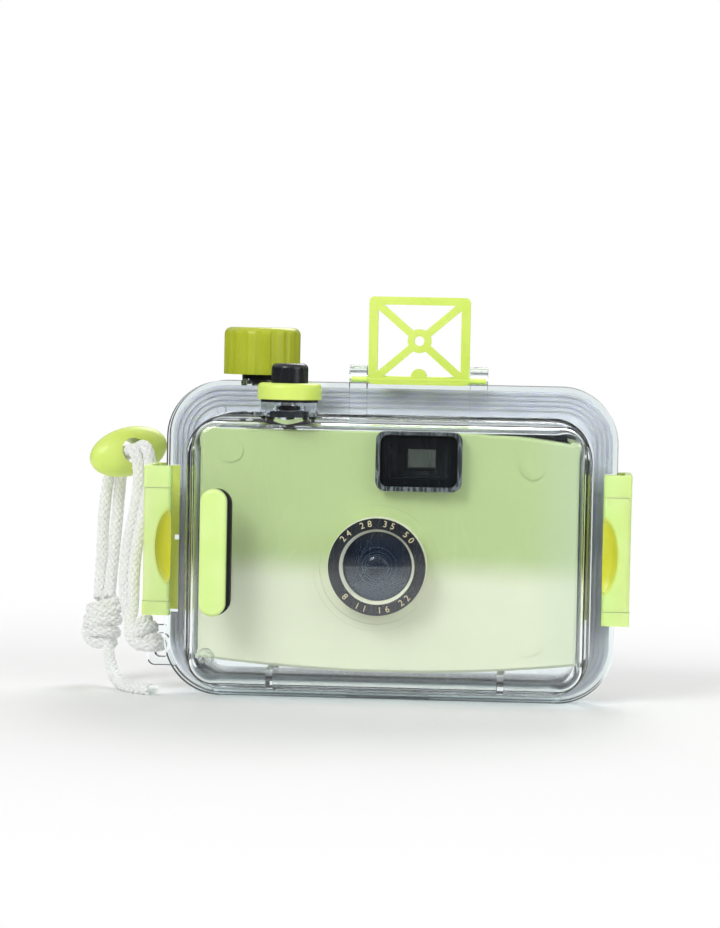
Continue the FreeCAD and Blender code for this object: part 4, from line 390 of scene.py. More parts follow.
@dataclass(frozen=True)
class MouldedPlastic(Look):
    """Solid moulded plastic or rubber with a fine grain."""

    colour: Colour
    second: Colour
    roughness: float = 0.35
    rougher: float = 0.5
    coat: float = 0.0
    cloud_scale: float = 45.0
    grain_scale: float = 1400.0
    grain_depth: float = 0.00002
    through_light: float = 0.0
    # Emission in the piece's own colour: painted light, the piece glows though it is no lamp.
    painted_glow: float = 0.0
    shine: float = 0.5
    # Painted shade inside a finger scoop: its middle, stretch and shade colour, then the edge and depth
    # spans of the shade.
    scoop_shade: Optional[tuple[Point, Point, Colour]] = None
    scoop_shade_edge: tuple[float, float] = (1.12 * MM, 1.02 * MM)
    scoop_shade_depth: tuple[float, float] = (0.3 * MM, 2.2 * MM)
    wear: float = 0.15
    milk: Point = (0.004, 0.005, 0.001)

    def wire(self, finish: Finish, effects: SharedEffects) -> None:
        """Wire the nodes round the shader."""
        graph = finish.graph
        mask = finish.effect(effects.clouds, Scale=self.cloud_scale)
        tint = graph.mix(mask, self.colour, self.second)
        # Painted shade: the tint darkens inside the scoop, more so the farther into it.
        if self.scoop_shade:
            centre, stretch, deep = self.scoop_shade
            inside = graph.ramp(graph.distance(centre, stretch), *self.scoop_shade_edge)
            brim, floor = self.scoop_shade_depth
            depth = graph.ramp(graph.part("Y"), centre[1] - brim, centre[1] + floor)
            tint = graph.mix(graph.math("MULTIPLY", inside, depth), tint, deep)
        finish.feed("Base Color", tint)
        spread = self.rougher - self.roughness
        finish.roughen(self.roughness, mask, spread, finish.effect(effects.scuffs), self.wear)
        finish.bump(finish.effect(effects.grain, Scale=self.grain_scale), self.grain_depth)
        finish.set(Coat_Weight=self.coat, Coat_Roughness=0.12, Specular_IOR_Level=self.shine)
        if self.through_light:
            finish.set(Subsurface_Weight=self.through_light, Subsurface_Scale=0.6)
            finish.set(Subsurface_Radius=self.milk)
        # Painted light: the piece glows in its own colour.
        if self.painted_glow:
            finish.set(Emission_Color=(*self.colour, 1.0), Emission_Strength=self.painted_glow)


@dataclass(frozen=True)
class ClearPlastic(Look):
    """Clear polycarbonate that lets the lamps reach what it holds."""

    colour: Colour = (0.93, 0.965, 0.97)
    roughness: float = 0.015
    index: float = 1.45
    haze: float = 0.05
    wear: float = 0.1
    wave_depth: float = 0.00006

    def wire(self, finish: Finish, effects: SharedEffects) -> None:
        """Wire the nodes round the shader."""
        graph = finish.graph
        finish.set(Base_Color=(*self.colour, 1.0), Transmission_Weight=1.0, IOR=self.index)
        clouds = finish.effect(effects.clouds, Scale=25.0)
        scuffs = finish.effect(effects.scuffs, Scale=180.0, Share=0.012)
        finish.roughen(self.roughness, clouds, self.haze, scuffs, self.wear)
        finish.bump(finish.effect(effects.grain, Scale=60.0, Detail=1.0), self.wave_depth)
        path = graph.add("ShaderNodeLightPath")
        open_way = graph.add("ShaderNodeBsdfTransparent", Color=(*self.colour, 1.0))
        mixer = graph.add("ShaderNodeMixShader")
        sources = (path.outputs["Is Shadow Ray"], finish.shader.outputs[0], open_way.outputs[0])
        for source, target in zip(sources, mixer.inputs):
            graph.link(source, target)
        graph.link(mixer.outputs[0], finish.output.inputs["Surface"])


@dataclass(frozen=True)
class FrontCover(Look):
    """Smooth pale cover with a painted reflection, greener above and paler below, and greyish green
    towards its right end.
    """

    name: str = "cover_lime"
    upper_reflected_tint: Colour = srgb(183, 198, 140)
    lower_reflected_tint: Colour = srgb(219, 220, 191)
    edge: Colour = srgb(188, 200, 172)
    reflection_blend: tuple[float, float] = (0.0345, 0.0450)
    right_end: tuple[float, float] = (0.038, 0.054)
    wander: float = 0.002

    def wire(self, finish: Finish, effects: SharedEffects) -> None:
        """Wire the nodes round the shader."""
        graph = finish.graph
        clouds = finish.effect(effects.clouds, Scale=18.0, Low=0.2, High=0.8)
        # Painted reflection: greener above and paler below, the border set by height.
        level = graph.math("ADD", graph.part("Z"), graph.math("MULTIPLY", clouds, self.wander))
        tint = graph.mix(graph.ramp(level, *self.reflection_blend), self.lower_reflected_tint, self.upper_reflected_tint)
        right = graph.ramp(graph.part("X"), *self.right_end)
        finish.feed("Base Color", graph.mix(graph.math("MULTIPLY", right, 0.5), tint, self.edge))
        finish.roughen(0.28, clouds, 0.12)
        finish.bump(finish.effect(effects.grain, Scale=1800.0), 0.00001)
        finish.set(Coat_Weight=0.3, Coat_Roughness=0.15)


@dataclass(frozen=True)
class BrushedMetal(Look):
    """Plain steel with fine drawn lines."""

    colour: Colour = (0.56, 0.56, 0.57)
    roughness: float = 0.3
    lines: float = 0.00001

    def wire(self, finish: Finish, effects: SharedEffects) -> None:
        """Wire the nodes round the shader."""
        finish.set(Base_Color=(*self.colour, 1.0), Metallic=1.0)
        finish.roughen(self.roughness, finish.effect(effects.scuffs, Scale=900.0, Share=0.1), 0.15)
        if self.lines:
            finish.bump(finish.effect(effects.grain, Scale=2500.0), self.lines)


@dataclass(frozen=True)
class CoatedLens(Look):
    """Dark coated lens: fine turned rings under its surface drawn as lighter lines of painted highlight,
    and a painted reflection that lightens it below.
    """

    name: str = "lens_coated"
    deep: Colour = srgb(12, 24, 42)
    lens_reflection: Colour = srgb(40, 56, 70)
    ring: Colour = srgb(92, 110, 122)
    centre: Point = (-0.0028, 0.0, 0.0397)
    radii: tuple[float, ...] = (0.0055, 0.0042, 0.0034)
    line: float = 0.00012
    line_share: float = 0.25
    lens_reflection_fall: tuple[float, float] = (0.001, -0.011)
    dome: float = 0.0030
    curve: float = 0.0075

    def wire(self, finish: Finish, effects: SharedEffects) -> None:
        """Wire the nodes round the shader."""
        graph = finish.graph
        # Painted reflection: the lens lightens below its middle.
        top, low = (self.centre[2] + fall for fall in self.lens_reflection_fall)
        share = graph.math("MULTIPLY", finish.effect(effects.clouds, Scale=160.0), 0.1)
        below = graph.ramp(graph.part("Z"), top, low)
        tint = graph.mix(graph.math("ADD", share, below), self.deep, self.lens_reflection)
        away = graph.distance(self.centre, (1.0, 0.0, 1.0))
        lines = None
        # Painted highlight: the inner element's ring edges, as lighter lines where they catch light.
        for radius in self.radii:
            gap = graph.math("ABSOLUTE", graph.math("SUBTRACT", away, radius))
            line = graph.ramp(gap, self.line * 1.6, self.line * 0.4)
            lines = line if lines is None else graph.math("MAXIMUM", lines, line)
        tint = graph.mix(graph.math("MULTIPLY", lines, self.line_share), tint, self.ring)
        finish.feed("Base Color", tint)
        inner = graph.math("DIVIDE", graph.math("MINIMUM", away, self.dome), self.dome)
        fall = graph.math("SUBTRACT", 1.0, graph.math("MULTIPLY", inner, inner))
        finish.bump(fall, self.dome * self.dome / (2 * self.curve))
        finish.set(Roughness=0.05, Coat_Weight=1.0, Coat_Roughness=0.02)


@dataclass(frozen=True)
class BraidedYarn(Look):
    """White polyester yarn made of many fine filaments."""

    name: str = "braid_white"
    colour: Colour = srgb(254, 255, 253)
    shade: Colour = srgb(228, 233, 226)
    groove_shade: Colour = srgb(205, 211, 206)
    groove_shade_span: tuple[float, float] = (0.7, 1.2)
    filament_scale: float = 3.2

    def wire(self, finish: Finish, effects: SharedEffects) -> None:
        """Wire the nodes round the shader."""
        graph = finish.graph
        across = graph.add("ShaderNodeUVMap", uv_map="yarn").outputs[0]
        waves = graph.add("ShaderNodeTexWave", wave_type="BANDS", bands_direction="X")
        waves.inputs["Scale"].default_value = self.filament_scale
        waves.inputs["Distortion"].default_value = 0.6
        graph.link(across, waves.inputs["Vector"])
        clouds = finish.effect(effects.clouds, Scale=900.0)
        share = graph.math("MULTIPLY", graph.math("MULTIPLY", waves.outputs["Fac"], clouds), 0.3)
        # Painted shade: the yarn darkens towards its edges, where it dips between the yarns.
        from_crown = graph.math("ABSOLUTE", graph.math("SUBTRACT", graph.part("X", across), 1.0))
        tint = graph.mix(share, self.colour, self.shade)
        finish.feed("Base Color", graph.mix(graph.ramp(from_crown, *self.groove_shade_span), tint, self.groove_shade))
        finish.roughen(0.55, clouds, 0.15)
        finish.bump(waves.outputs["Fac"], 0.00006, 0.7)
        finish.set(Sheen_Weight=0.3, Sheen_Roughness=0.4, Subsurface_Weight=0.25, Subsurface_Scale=1.0)
        # Painted light: the yarn glows faintly to lift its white.
        finish.set(Emission_Color=(*self.colour, 1.0), Emission_Strength=0.1)
        finish.set(Subsurface_Radius=(MM, MM, MM))


@dataclass
class Palette:
    """Every finish of the camera, and the nodes that wear it."""

    effects: SharedEffects = field(default_factory=SharedEffects)
    made: dict[str, bpy.types.Material] = field(default_factory=dict)
    left_scoop: Point = (-63.3 * MM, -13.7 * MM, 43.6 * MM)
    right_scoop: Point = (61.5 * MM, -13.7 * MM, 43.6 * MM)
    scoop_stretch: Point = (1 / 4.6, 1 / 3.2, 1 / 11.0)

    def _pale(self, name: str, scoop: Optional[Point] = None) -> MouldedPlastic:
        """Pale lime, with painted shade that darkens it inside a lever's finger scoop.

        Args:
            name: name of the material.
            scoop: the scoop's middle, in metres, if the piece has one.

        Returns:
            The finish.
        """
        # Painted shade: deep yellow inside the scoop.
        scoop_shade = (scoop, self.scoop_stretch, srgb(212, 212, 44)) if scoop else None
        light, lighter = srgb(212, 240, 144), srgb(222, 247, 166)
        return MouldedPlastic(
            name, light, lighter, 0.28, 0.42, 0.25, through_light=0.3, scoop_shade=scoop_shade
        )

    def finishes(self) -> dict[str, tuple[Look, tuple[str, ...]]]:
        """Look and nodes by name."""
        return {
            "shell": (ClearPlastic("shell_clear"), ("front_shell", "rear_shell")),
            "trim": (
                ClearPlastic("trim_clear", colour=(0.86, 0.90, 0.91), index=1.3),
                ("finder_window",),
            ),
            "rim": (BrushedMetal("rim_silvered", (0.62, 0.68, 0.71), 0.08, 0.0), ("finder_bezel",)),
            "smoke": (
                ClearPlastic("trim_smoked", colour=(0.11, 0.12, 0.105), index=1.3),
                ("eyepiece",),
            ),
            "pale": (self._pale("lime_pale"), ("finger_grip", "latch_link_left", "latch_link_right")),
            "left": (self._pale("lime_left", self.left_scoop), ("latch_lever_left",)),
            "right": (self._pale("lime_right", self.right_scoop), ("latch_lever_right",)),
            # Latch base strips: painted light, they glow in their own colour to lift them out of the
            # levers' shade.
            "strip": (
                MouldedPlastic(
                    "lime_strip", srgb(238, 242, 140), srgb(244, 248, 164), 0.3, 0.45, 0.2, painted_glow=0.14
                ),
                ("latch_base_left", "latch_base_right"),
            ),
            "lime": (
                MouldedPlastic(
                    "lime_bright", srgb(206, 230, 98), srgb(214, 236, 112), 0.3, 0.45, 0.2,
                    through_light=0.2,
                ),
                ("sight_frame", "shutter_collar"),
            ),
            # Knob: the lime plastic painted darker, as painted shade.
            "deep": (
                MouldedPlastic(
                    "lime_knob_shaded", srgb(168, 178, 26), srgb(180, 190, 34), 0.32, 0.48, 0.2,
                    through_light=0.2,
                ),
                ("wind_knob",),
            ),
            "float": (
                MouldedPlastic(
                    "float_lime", srgb(206, 226, 92), srgb(216, 236, 122), 0.34, 0.46, 0.15,
                    through_light=0.3,
                ),
                ("strap_float",),
            ),
            "cover": (FrontCover(), ("front_cover",)),
            "black": (
                MouldedPlastic(
                    "black_moulded", (0.009, 0.011, 0.015), (0.014, 0.017, 0.022), 0.42, 0.55, shine=0.25
                ),
                (
                    "camera_body", "film_door", "plunger_foot", "finder_mask", "wind_pinion",
                    "advance_wheel", "sprocket", "take_up_spool", "rewind_knob", "rewind_fork",
                    "release_button", "door_latch", "shutter_base", "pressure_plate",
                ),
            ),
            "ring": (
                MouldedPlastic(
                    "black_satin", (0.011, 0.012, 0.017), (0.015, 0.017, 0.022), 0.16, 0.22, 0.3,
                    shine=0.35,
                ),
                ("lens_ring",),
            ),
            "rubber": (
                MouldedPlastic(
                    "black_rubber", (0.008, 0.008, 0.010), (0.012, 0.012, 0.014), 0.5, 0.66, shine=0.25
                ),
                ("grip_pad", "knob_washer", "collar_seal", "stem_seal", "shaft_seal", "rear_pads"),
            ),
            "cap": (
                MouldedPlastic(
                    "black_cap", (0.008, 0.010, 0.014), (0.012, 0.014, 0.018), 0.22, 0.3, 0.2, shine=0.35
                ),
                ("shutter_cap",),
            ),
            "cream": (
                MouldedPlastic("cream_moulded", srgb(236, 232, 205), srgb(246, 243, 224), 0.35, 0.5),
                ("lens_barrel", "counter_dial"),
            ),
            "seal": (
                MouldedPlastic(
                    "milky_silicone", srgb(204, 204, 214), srgb(216, 216, 224), 0.4, 0.55,
                    through_light=0.3,
                ),
                ("gasket",),
            ),
            "steel": (
                BrushedMetal("steel_drawn"),
                (
                    "latch_pin_left", "latch_pin_right", "latch_rear_pins", "wind_shaft", "shaft_clip",
                    "shutter_plunger", "shutter_spring", "shutter_blade", "door_hinge_pin",
                    "plate_spring", "top_screws",
                ),
            ),
            "lens": (CoatedLens(), ("front_lens", "rear_lens")),
            "braid": (BraidedYarn(), ()),
            "print": (
                MouldedPlastic("champagne_print", srgb(214, 196, 150), srgb(226, 210, 168), 0.35, 0.45),
                (),
            ),
        }

    def dress(self) -> None:
        """Build the finishes and give each node its own."""
        for name, (finish, nodes) in self.finishes().items():
            self.made[name] = finish.build(self.effects)
            for node in nodes:
                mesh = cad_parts[node]
                mesh.data.materials.clear()
                mesh.data.materials.append(self.made[name])
                LOG.info("%s wears %s", node, name)


@dataclass
class PhotoCamera:
    """Camera at the viewing angle: a long lens a little right of and above the port."""

    aim: Point = (-9.1, -6.0, 68.3)
    distance: float = 900.0
    azimuth: float = 3.5
    elevation: float = 2.6
    roll: float = 1.1
    focal_pixels: float = 3103.0
    frame_height: float = 928.0
    sensor: float = 36.0

    def build(self) -> None:
        """Make the camera and use it."""
        data = bpy.data.cameras.new("view_camera")
        data.sensor_fit = "VERTICAL"
        data.sensor_height = self.sensor
        data.lens = self.focal_pixels * self.sensor / self.frame_height
        data.clip_start = 0.01
        camera = placed("view_camera", data)
        turn = math.radians(self.azimuth)
        rise = math.radians(self.elevation)
        away = Vector((math.sin(turn) * math.cos(rise), -math.cos(turn) * math.cos(rise), math.sin(rise)))
        aim = metres(self.aim)
        look = (-away).to_track_quat("-Z", "Y").to_matrix().to_4x4()
        roll = Matrix.Rotation(math.radians(self.roll), 4, "Z")
        camera.matrix_world = Matrix.Translation(aim + away * self.distance * MM) @ look @ roll
        bpy.context.scene.camera = camera


@dataclass
class Studio:
    """Pale floor and backdrop, soft lamps and a plain world."""

    floor_size: float = 6.0
    floor_colour: Colour = (0.86, 0.86, 0.86)
    floor_roughness: float = 0.8
    world_strength: float = 0.5
    gloss_strength: float = 0.8
    room_strength: float = 0.07
    shadow_fade: tuple[float, float] = (0.11, 0.34)
    table_edge: tuple[float, float] = (0.43, 0.64)
    ceiling: tuple[float, float] = (0.1, 0.6)
    aim: Point = (0.0, 0.0, 45.0)
    lamps: tuple[tuple[str, Point, float, float], ...] = (
        ("key_lamp", (-520.0, -800.0, 760.0), 560.0, 6.0),
        ("fill_lamp", (760.0, -620.0, 360.0), 620.0, 2.6),
        ("back_lamp", (120.0, 700.0, 720.0), 520.0, 4.0),
    )

    def _pale(self) -> bpy.types.Material:
        """Floor: pale round the part, farther out white to the camera and dim to gloss."""
        material = bpy.data.materials.new("pale_floor")
        material.use_nodes = True
        graph = Graph(material.node_tree)
        surface = graph.add("ShaderNodeBsdfPrincipled", Roughness=self.floor_roughness)
        surface.inputs["Base Color"].default_value = (*self.floor_colour, 1.0)
        seen, mirrored = graph.rays()
        away = graph.distance((0.0, 0.0, 0.0))
        result = surface
        layers = (
            (seen, graph.ramp(away, *self.shadow_fade), 1.0),
            (mirrored, graph.ramp(away, *self.table_edge), self.room_strength),
        )
        for rays, share, strength in layers:
            plain = graph.add("ShaderNodeEmission", Color=(1.0, 1.0, 1.0, 1.0), Strength=strength)
            mixer = graph.add("ShaderNodeMixShader")
            graph.link(graph.math("MULTIPLY", share, rays), mixer.inputs[0])
            graph.link(result.outputs[0], mixer.inputs[1])
            graph.link(plain.outputs[0], mixer.inputs[2])
            result = mixer
        output = graph.add("ShaderNodeOutputMaterial")
        graph.link(result.outputs[0], output.inputs["Surface"])
        return material

    def _world(self) -> None:
        """Even pale world: white to the camera, and to gloss a dim room behind the camera."""
        world = bpy.data.worlds.new("pale_world")
        bpy.context.scene.world = world
        world.use_nodes = True
        graph = Graph(world.node_tree)
        seen, mirrored = graph.rays()
        plain = graph.math("MULTIPLY", seen, 1.0 - self.world_strength)
        up = graph.part("Z", graph.add("ShaderNodeTexCoord").outputs["Generated"])
        lit = graph.math("MULTIPLY", graph.ramp(up, *self.ceiling), self.gloss_strength)
        pick = graph.add("ShaderNodeMix", data_type="FLOAT")
        graph.link(mirrored, pick.inputs[0])
        graph.link(graph.math("ADD", plain, self.world_strength), pick.inputs[2])
        graph.link(graph.math("ADD", lit, self.room_strength), pick.inputs[3])
        sky = graph.add("ShaderNodeBackground", Color=(1.0, 1.0, 1.0, 1.0))
        graph.link(pick.outputs[0], sky.inputs["Strength"])
        output = graph.add("ShaderNodeOutputWorld")
        graph.link(sky.outputs[0], output.inputs["Surface"])

    def build(self) -> None:
        """Make the floor, the world and the lamps."""
        half = self.floor_size / 2
        mesh = bpy.data.meshes.new("floor")
        corners = [(-half, -half, 0.0), (half, -half, 0.0), (half, half, 0.0), (-half, half, 0.0)]
        mesh.from_pydata(corners, [], [(0, 1, 2, 3)])
        floor = placed("floor", mesh)
        mesh.materials.append(self._pale())
        self._world()
        target = metres(self.aim)
        for name, spot, size, power in self.lamps:
            data = bpy.data.lights.new(name, "AREA")
            data.shape = "DISK"
            data.size = size * MM
            data.energy = power
            lamp = placed(name, data)
            lamp.location = metres(spot)
            lamp.rotation_euler = (target - metres(spot)).to_track_quat("-Z", "Y").to_euler()


def smooth_route(name: str, points: Sequence[Point], resolution: int = 24) -> list[Vector]:
    """Lay a smooth line along control points.

    Args:
        name: name of the curve.
        points: control points, in millimetres.
        resolution: steps between two control points.

    Returns:
        The points that the line runs through, in metres.
    """
    curve = bpy.data.curves.new(name, "CURVE")
    curve.dimensions = "3D"
    spline = curve.splines.new("NURBS")
    spline.points.add(len(points) - 1)
    for knot, place in zip(spline.points, points):
        knot.co = (*metres(place), 1.0)
    spline.order_u = 3
    spline.use_endpoint_u = True
    curve.resolution_u = resolution
    holder = bpy.data.objects.new(f"{name}_line", curve)
    mesh = bpy.data.meshes.new_from_object(holder)
    line = [vertex.co.copy() for vertex in mesh.vertices]
    bpy.data.objects.remove(holder)
    bpy.data.meshes.remove(mesh)
    return line


def length_of(line: Sequence[Vector]) -> float:
    """Length of a line of points."""
    return sum((b - a).length for a, b in zip(line, line[1:]))


def even_steps(line: Sequence[Vector], step: float) -> list[Vector]:
    """Space points evenly along a line.

    Args:
        line: the line's points.
        step: wanted distance.

    Returns:
        The evenly spaced points, ends included.
    """
    total = length_of(line)
    count = max(2, round(total / step))
    gaps = [0.0]
    for a, b in zip(line, line[1:]):
        gaps.append(gaps[-1] + (b - a).length)
    spots = []
    index = 0
    for number in range(count + 1):
        reach = total * number / count
        while index < len(line) - 2 and gaps[index + 1] < reach:
            index += 1
        span = max(gaps[index + 1] - gaps[index], 1e-12)
        spots.append(line[index].lerp(line[index + 1], (reach - gaps[index]) / span))
    return spots


def carried_frames(spots: Sequence[Vector]) -> list[tuple[Vector, Vector, Vector]]:
    """Carry a crosswise frame along a line without twisting it.

    Args:
        spots: evenly spaced points.

    Returns:
        For each point its direction and two directions across it.
    """
    frames = []
    side: Optional[Vector] = None
    for index in range(len(spots)):
        ahead = spots[min(index + 1, len(spots) - 1)] - spots[max(index - 1, 0)]
        along = ahead.normalized()
        if side is None:
            side = along.orthogonal().normalized()
        side = (side - along * side.dot(along)).normalized()
        frames.append((along, side, along.cross(side)))
    return frames


@dataclass
class Braid:
    """Round braided cord: yarns that wind both ways and pass over and under each other."""

    radius: float = 1.92
    carriers: int = 6
    pitch: float = 13.2
    step: float = 0.45
    yarn_width: float = 1.34
    yarn_thick: float = 0.76
    weave: float = 0.3
    core_gap: float = 1.6
    sides: int = 8
    yarn_scale: tuple[float, float] = (4.0, 0.15)

    def mesh(self, name: str, line: Sequence[Vector]) -> bpy.types.Mesh:
        """Build the braid along a line.

        Args:
            name: name of the mesh.
            line: points of its centre line, in metres.

        Returns:
            The mesh, with a UV map that runs across and along each yarn.
        """
        spots = even_steps(line, self.step * MM)
        frames = carried_frames(spots)
        total = length_of(spots)
        work = bmesh.new()
        layer = work.loops.layers.uv.new("yarn")
        middle = (self.radius - self.yarn_thick / 2 - self.weave) * MM
        turns = total / (self.pitch * MM)
        for way in (1, -1):
            for carrier in range(self.carriers):
                rings = []
                for index, spot in enumerate(spots):
                    phase = 2 * math.pi * turns * index / (len(spots) - 1)
                    angle = way * phase + 2 * math.pi * carrier / self.carriers
                    lift = way * math.cos(self.carriers * phase) * self.weave * MM
                    rings.append(self._ring(work, spot, frames[index], angle, middle + lift, way))
                self._skin(work, layer, rings)
        self._core(work, layer, spots, frames)
        mesh = finished_mesh(name, work)
        mesh.shade_smooth()
        return mesh

    def _ring(
        self, work: bmesh.types.BMesh, spot: Vector, axes: tuple[Vector, Vector, Vector],
        angle: float, reach: float, way: int,
    ) -> list[bmesh.types.BMVert]:
        """Corners of one yarn's cross-section."""
        along, side, other = axes
        outward = swung(side, other, angle)
        round_way = swung(other, -side, angle)
        lean = math.atan2(2 * math.pi * self.radius, self.pitch)
        across = round_way * math.cos(lean) - along * (math.sin(lean) * way)
        centre = spot + outward * reach
        ring = []
        for number in range(self.sides):
            turn = 2 * math.pi * number / self.sides
            width = math.cos(turn) * self.yarn_width * MM / 2
            thick = math.sin(turn) * self.yarn_thick * MM / 2
            ring.append(work.verts.new(centre + across * width + outward * thick))
        return ring

    def _skin(self, work: bmesh.types.BMesh, layer: object, rings: list) -> None:
        """Faces between a yarn's cross-sections, and its two ends."""
        for row, (low, high) in enumerate(zip(rings, rings[1:])):
            for number in range(self.sides):
                after = (number + 1) % self.sides
                face = work.faces.new((low[number], low[after], high[after], high[number]))
                spots = ((number, row), (number + 1, row), (number + 1, row + 1), (number, row + 1))
                for loop, (across, up) in zip(face.loops, spots):
                    loop[layer].uv = (across / self.sides * self.yarn_scale[0], up * self.yarn_scale[1])
        work.faces.new(list(reversed(rings[0])))
        work.faces.new(rings[-1])

    def _core(
        self, work: bmesh.types.BMesh, layer: object, spots: Sequence[Vector],
        frames: Sequence[tuple[Vector, Vector, Vector]],
    ) -> None:
        """Plain core that closes the gaps between the yarns."""
        reach = (self.radius - self.yarn_thick / 2 - self.weave * self.core_gap) * MM
        turns = [2 * math.pi * number / self.sides for number in range(self.sides)]
        rings = []
        for spot, (_along, side, other) in zip(spots, frames):
            rings.append([work.verts.new(spot + swung(side, other, turn) * reach) for turn in turns])
        self._skin(work, layer, rings)


@dataclass(frozen=True)
class Winding:
    """Cord wound round a slanted axis in tilted turns, then drawn back over them."""

    start: Point
    finish: Point
    reach: float
    turns: float
    tilt: float
    sweep: float
    rise: float = 0.9
    first: float = -2.4
    steps_a_turn: int = 12
    fullness: float = 0.6
    lean_lag: float = 0.8
    steps_back: int = 7
    core: tuple[float, ...] = (0.15, 0.5, 0.8, 1.05)

    def points(self) -> list[Point]:
        """Control points of the cord's centre line.

        Returns:
            The points, in millimetres.
        """
        start, axis = Vector(self.start), Vector(self.finish) - Vector(self.start)
        along = axis.normalized()
        side = along.cross(Vector((0.0, 1.0, 0.0))).normalized()
        other = along.cross(side)
        points = []
        count = round(self.turns * self.steps_a_turn)
        for number in range(count + 1):
            share = number / count
            angle = self.first + 2 * math.pi * self.turns * share
            swell = self.reach * (0.5 + 0.5 * self._bulge(share))
            lean = swell * math.tan(self.tilt) * math.sin(angle - 2 * math.pi * self.lean_lag * share)
            spot = start + axis * share + along * lean
            points.append(tuple(spot + swung(side, other, angle) * swell))
        last = self.first + 2 * math.pi * self.turns
        for number in range(1, self.steps_back + 1):
            share = number / self.steps_back
            swell = self.reach * 0.6 + (self.reach * 0.4 + self.rise) * self._bulge(share)
            spot = start + axis * (1.0 - share)
            points.append(tuple(spot + swung(side, other, last + self.sweep * share) * swell))
        points.extend(tuple(start + axis * share) for share in self.core)
        return points

    def _bulge(self, share: float) -> float:
        """How full the knot is along its axis: 0 at both ends, 1 in the middle."""
        return max(0.0, math.sin(math.pi * share)) ** self.fullness


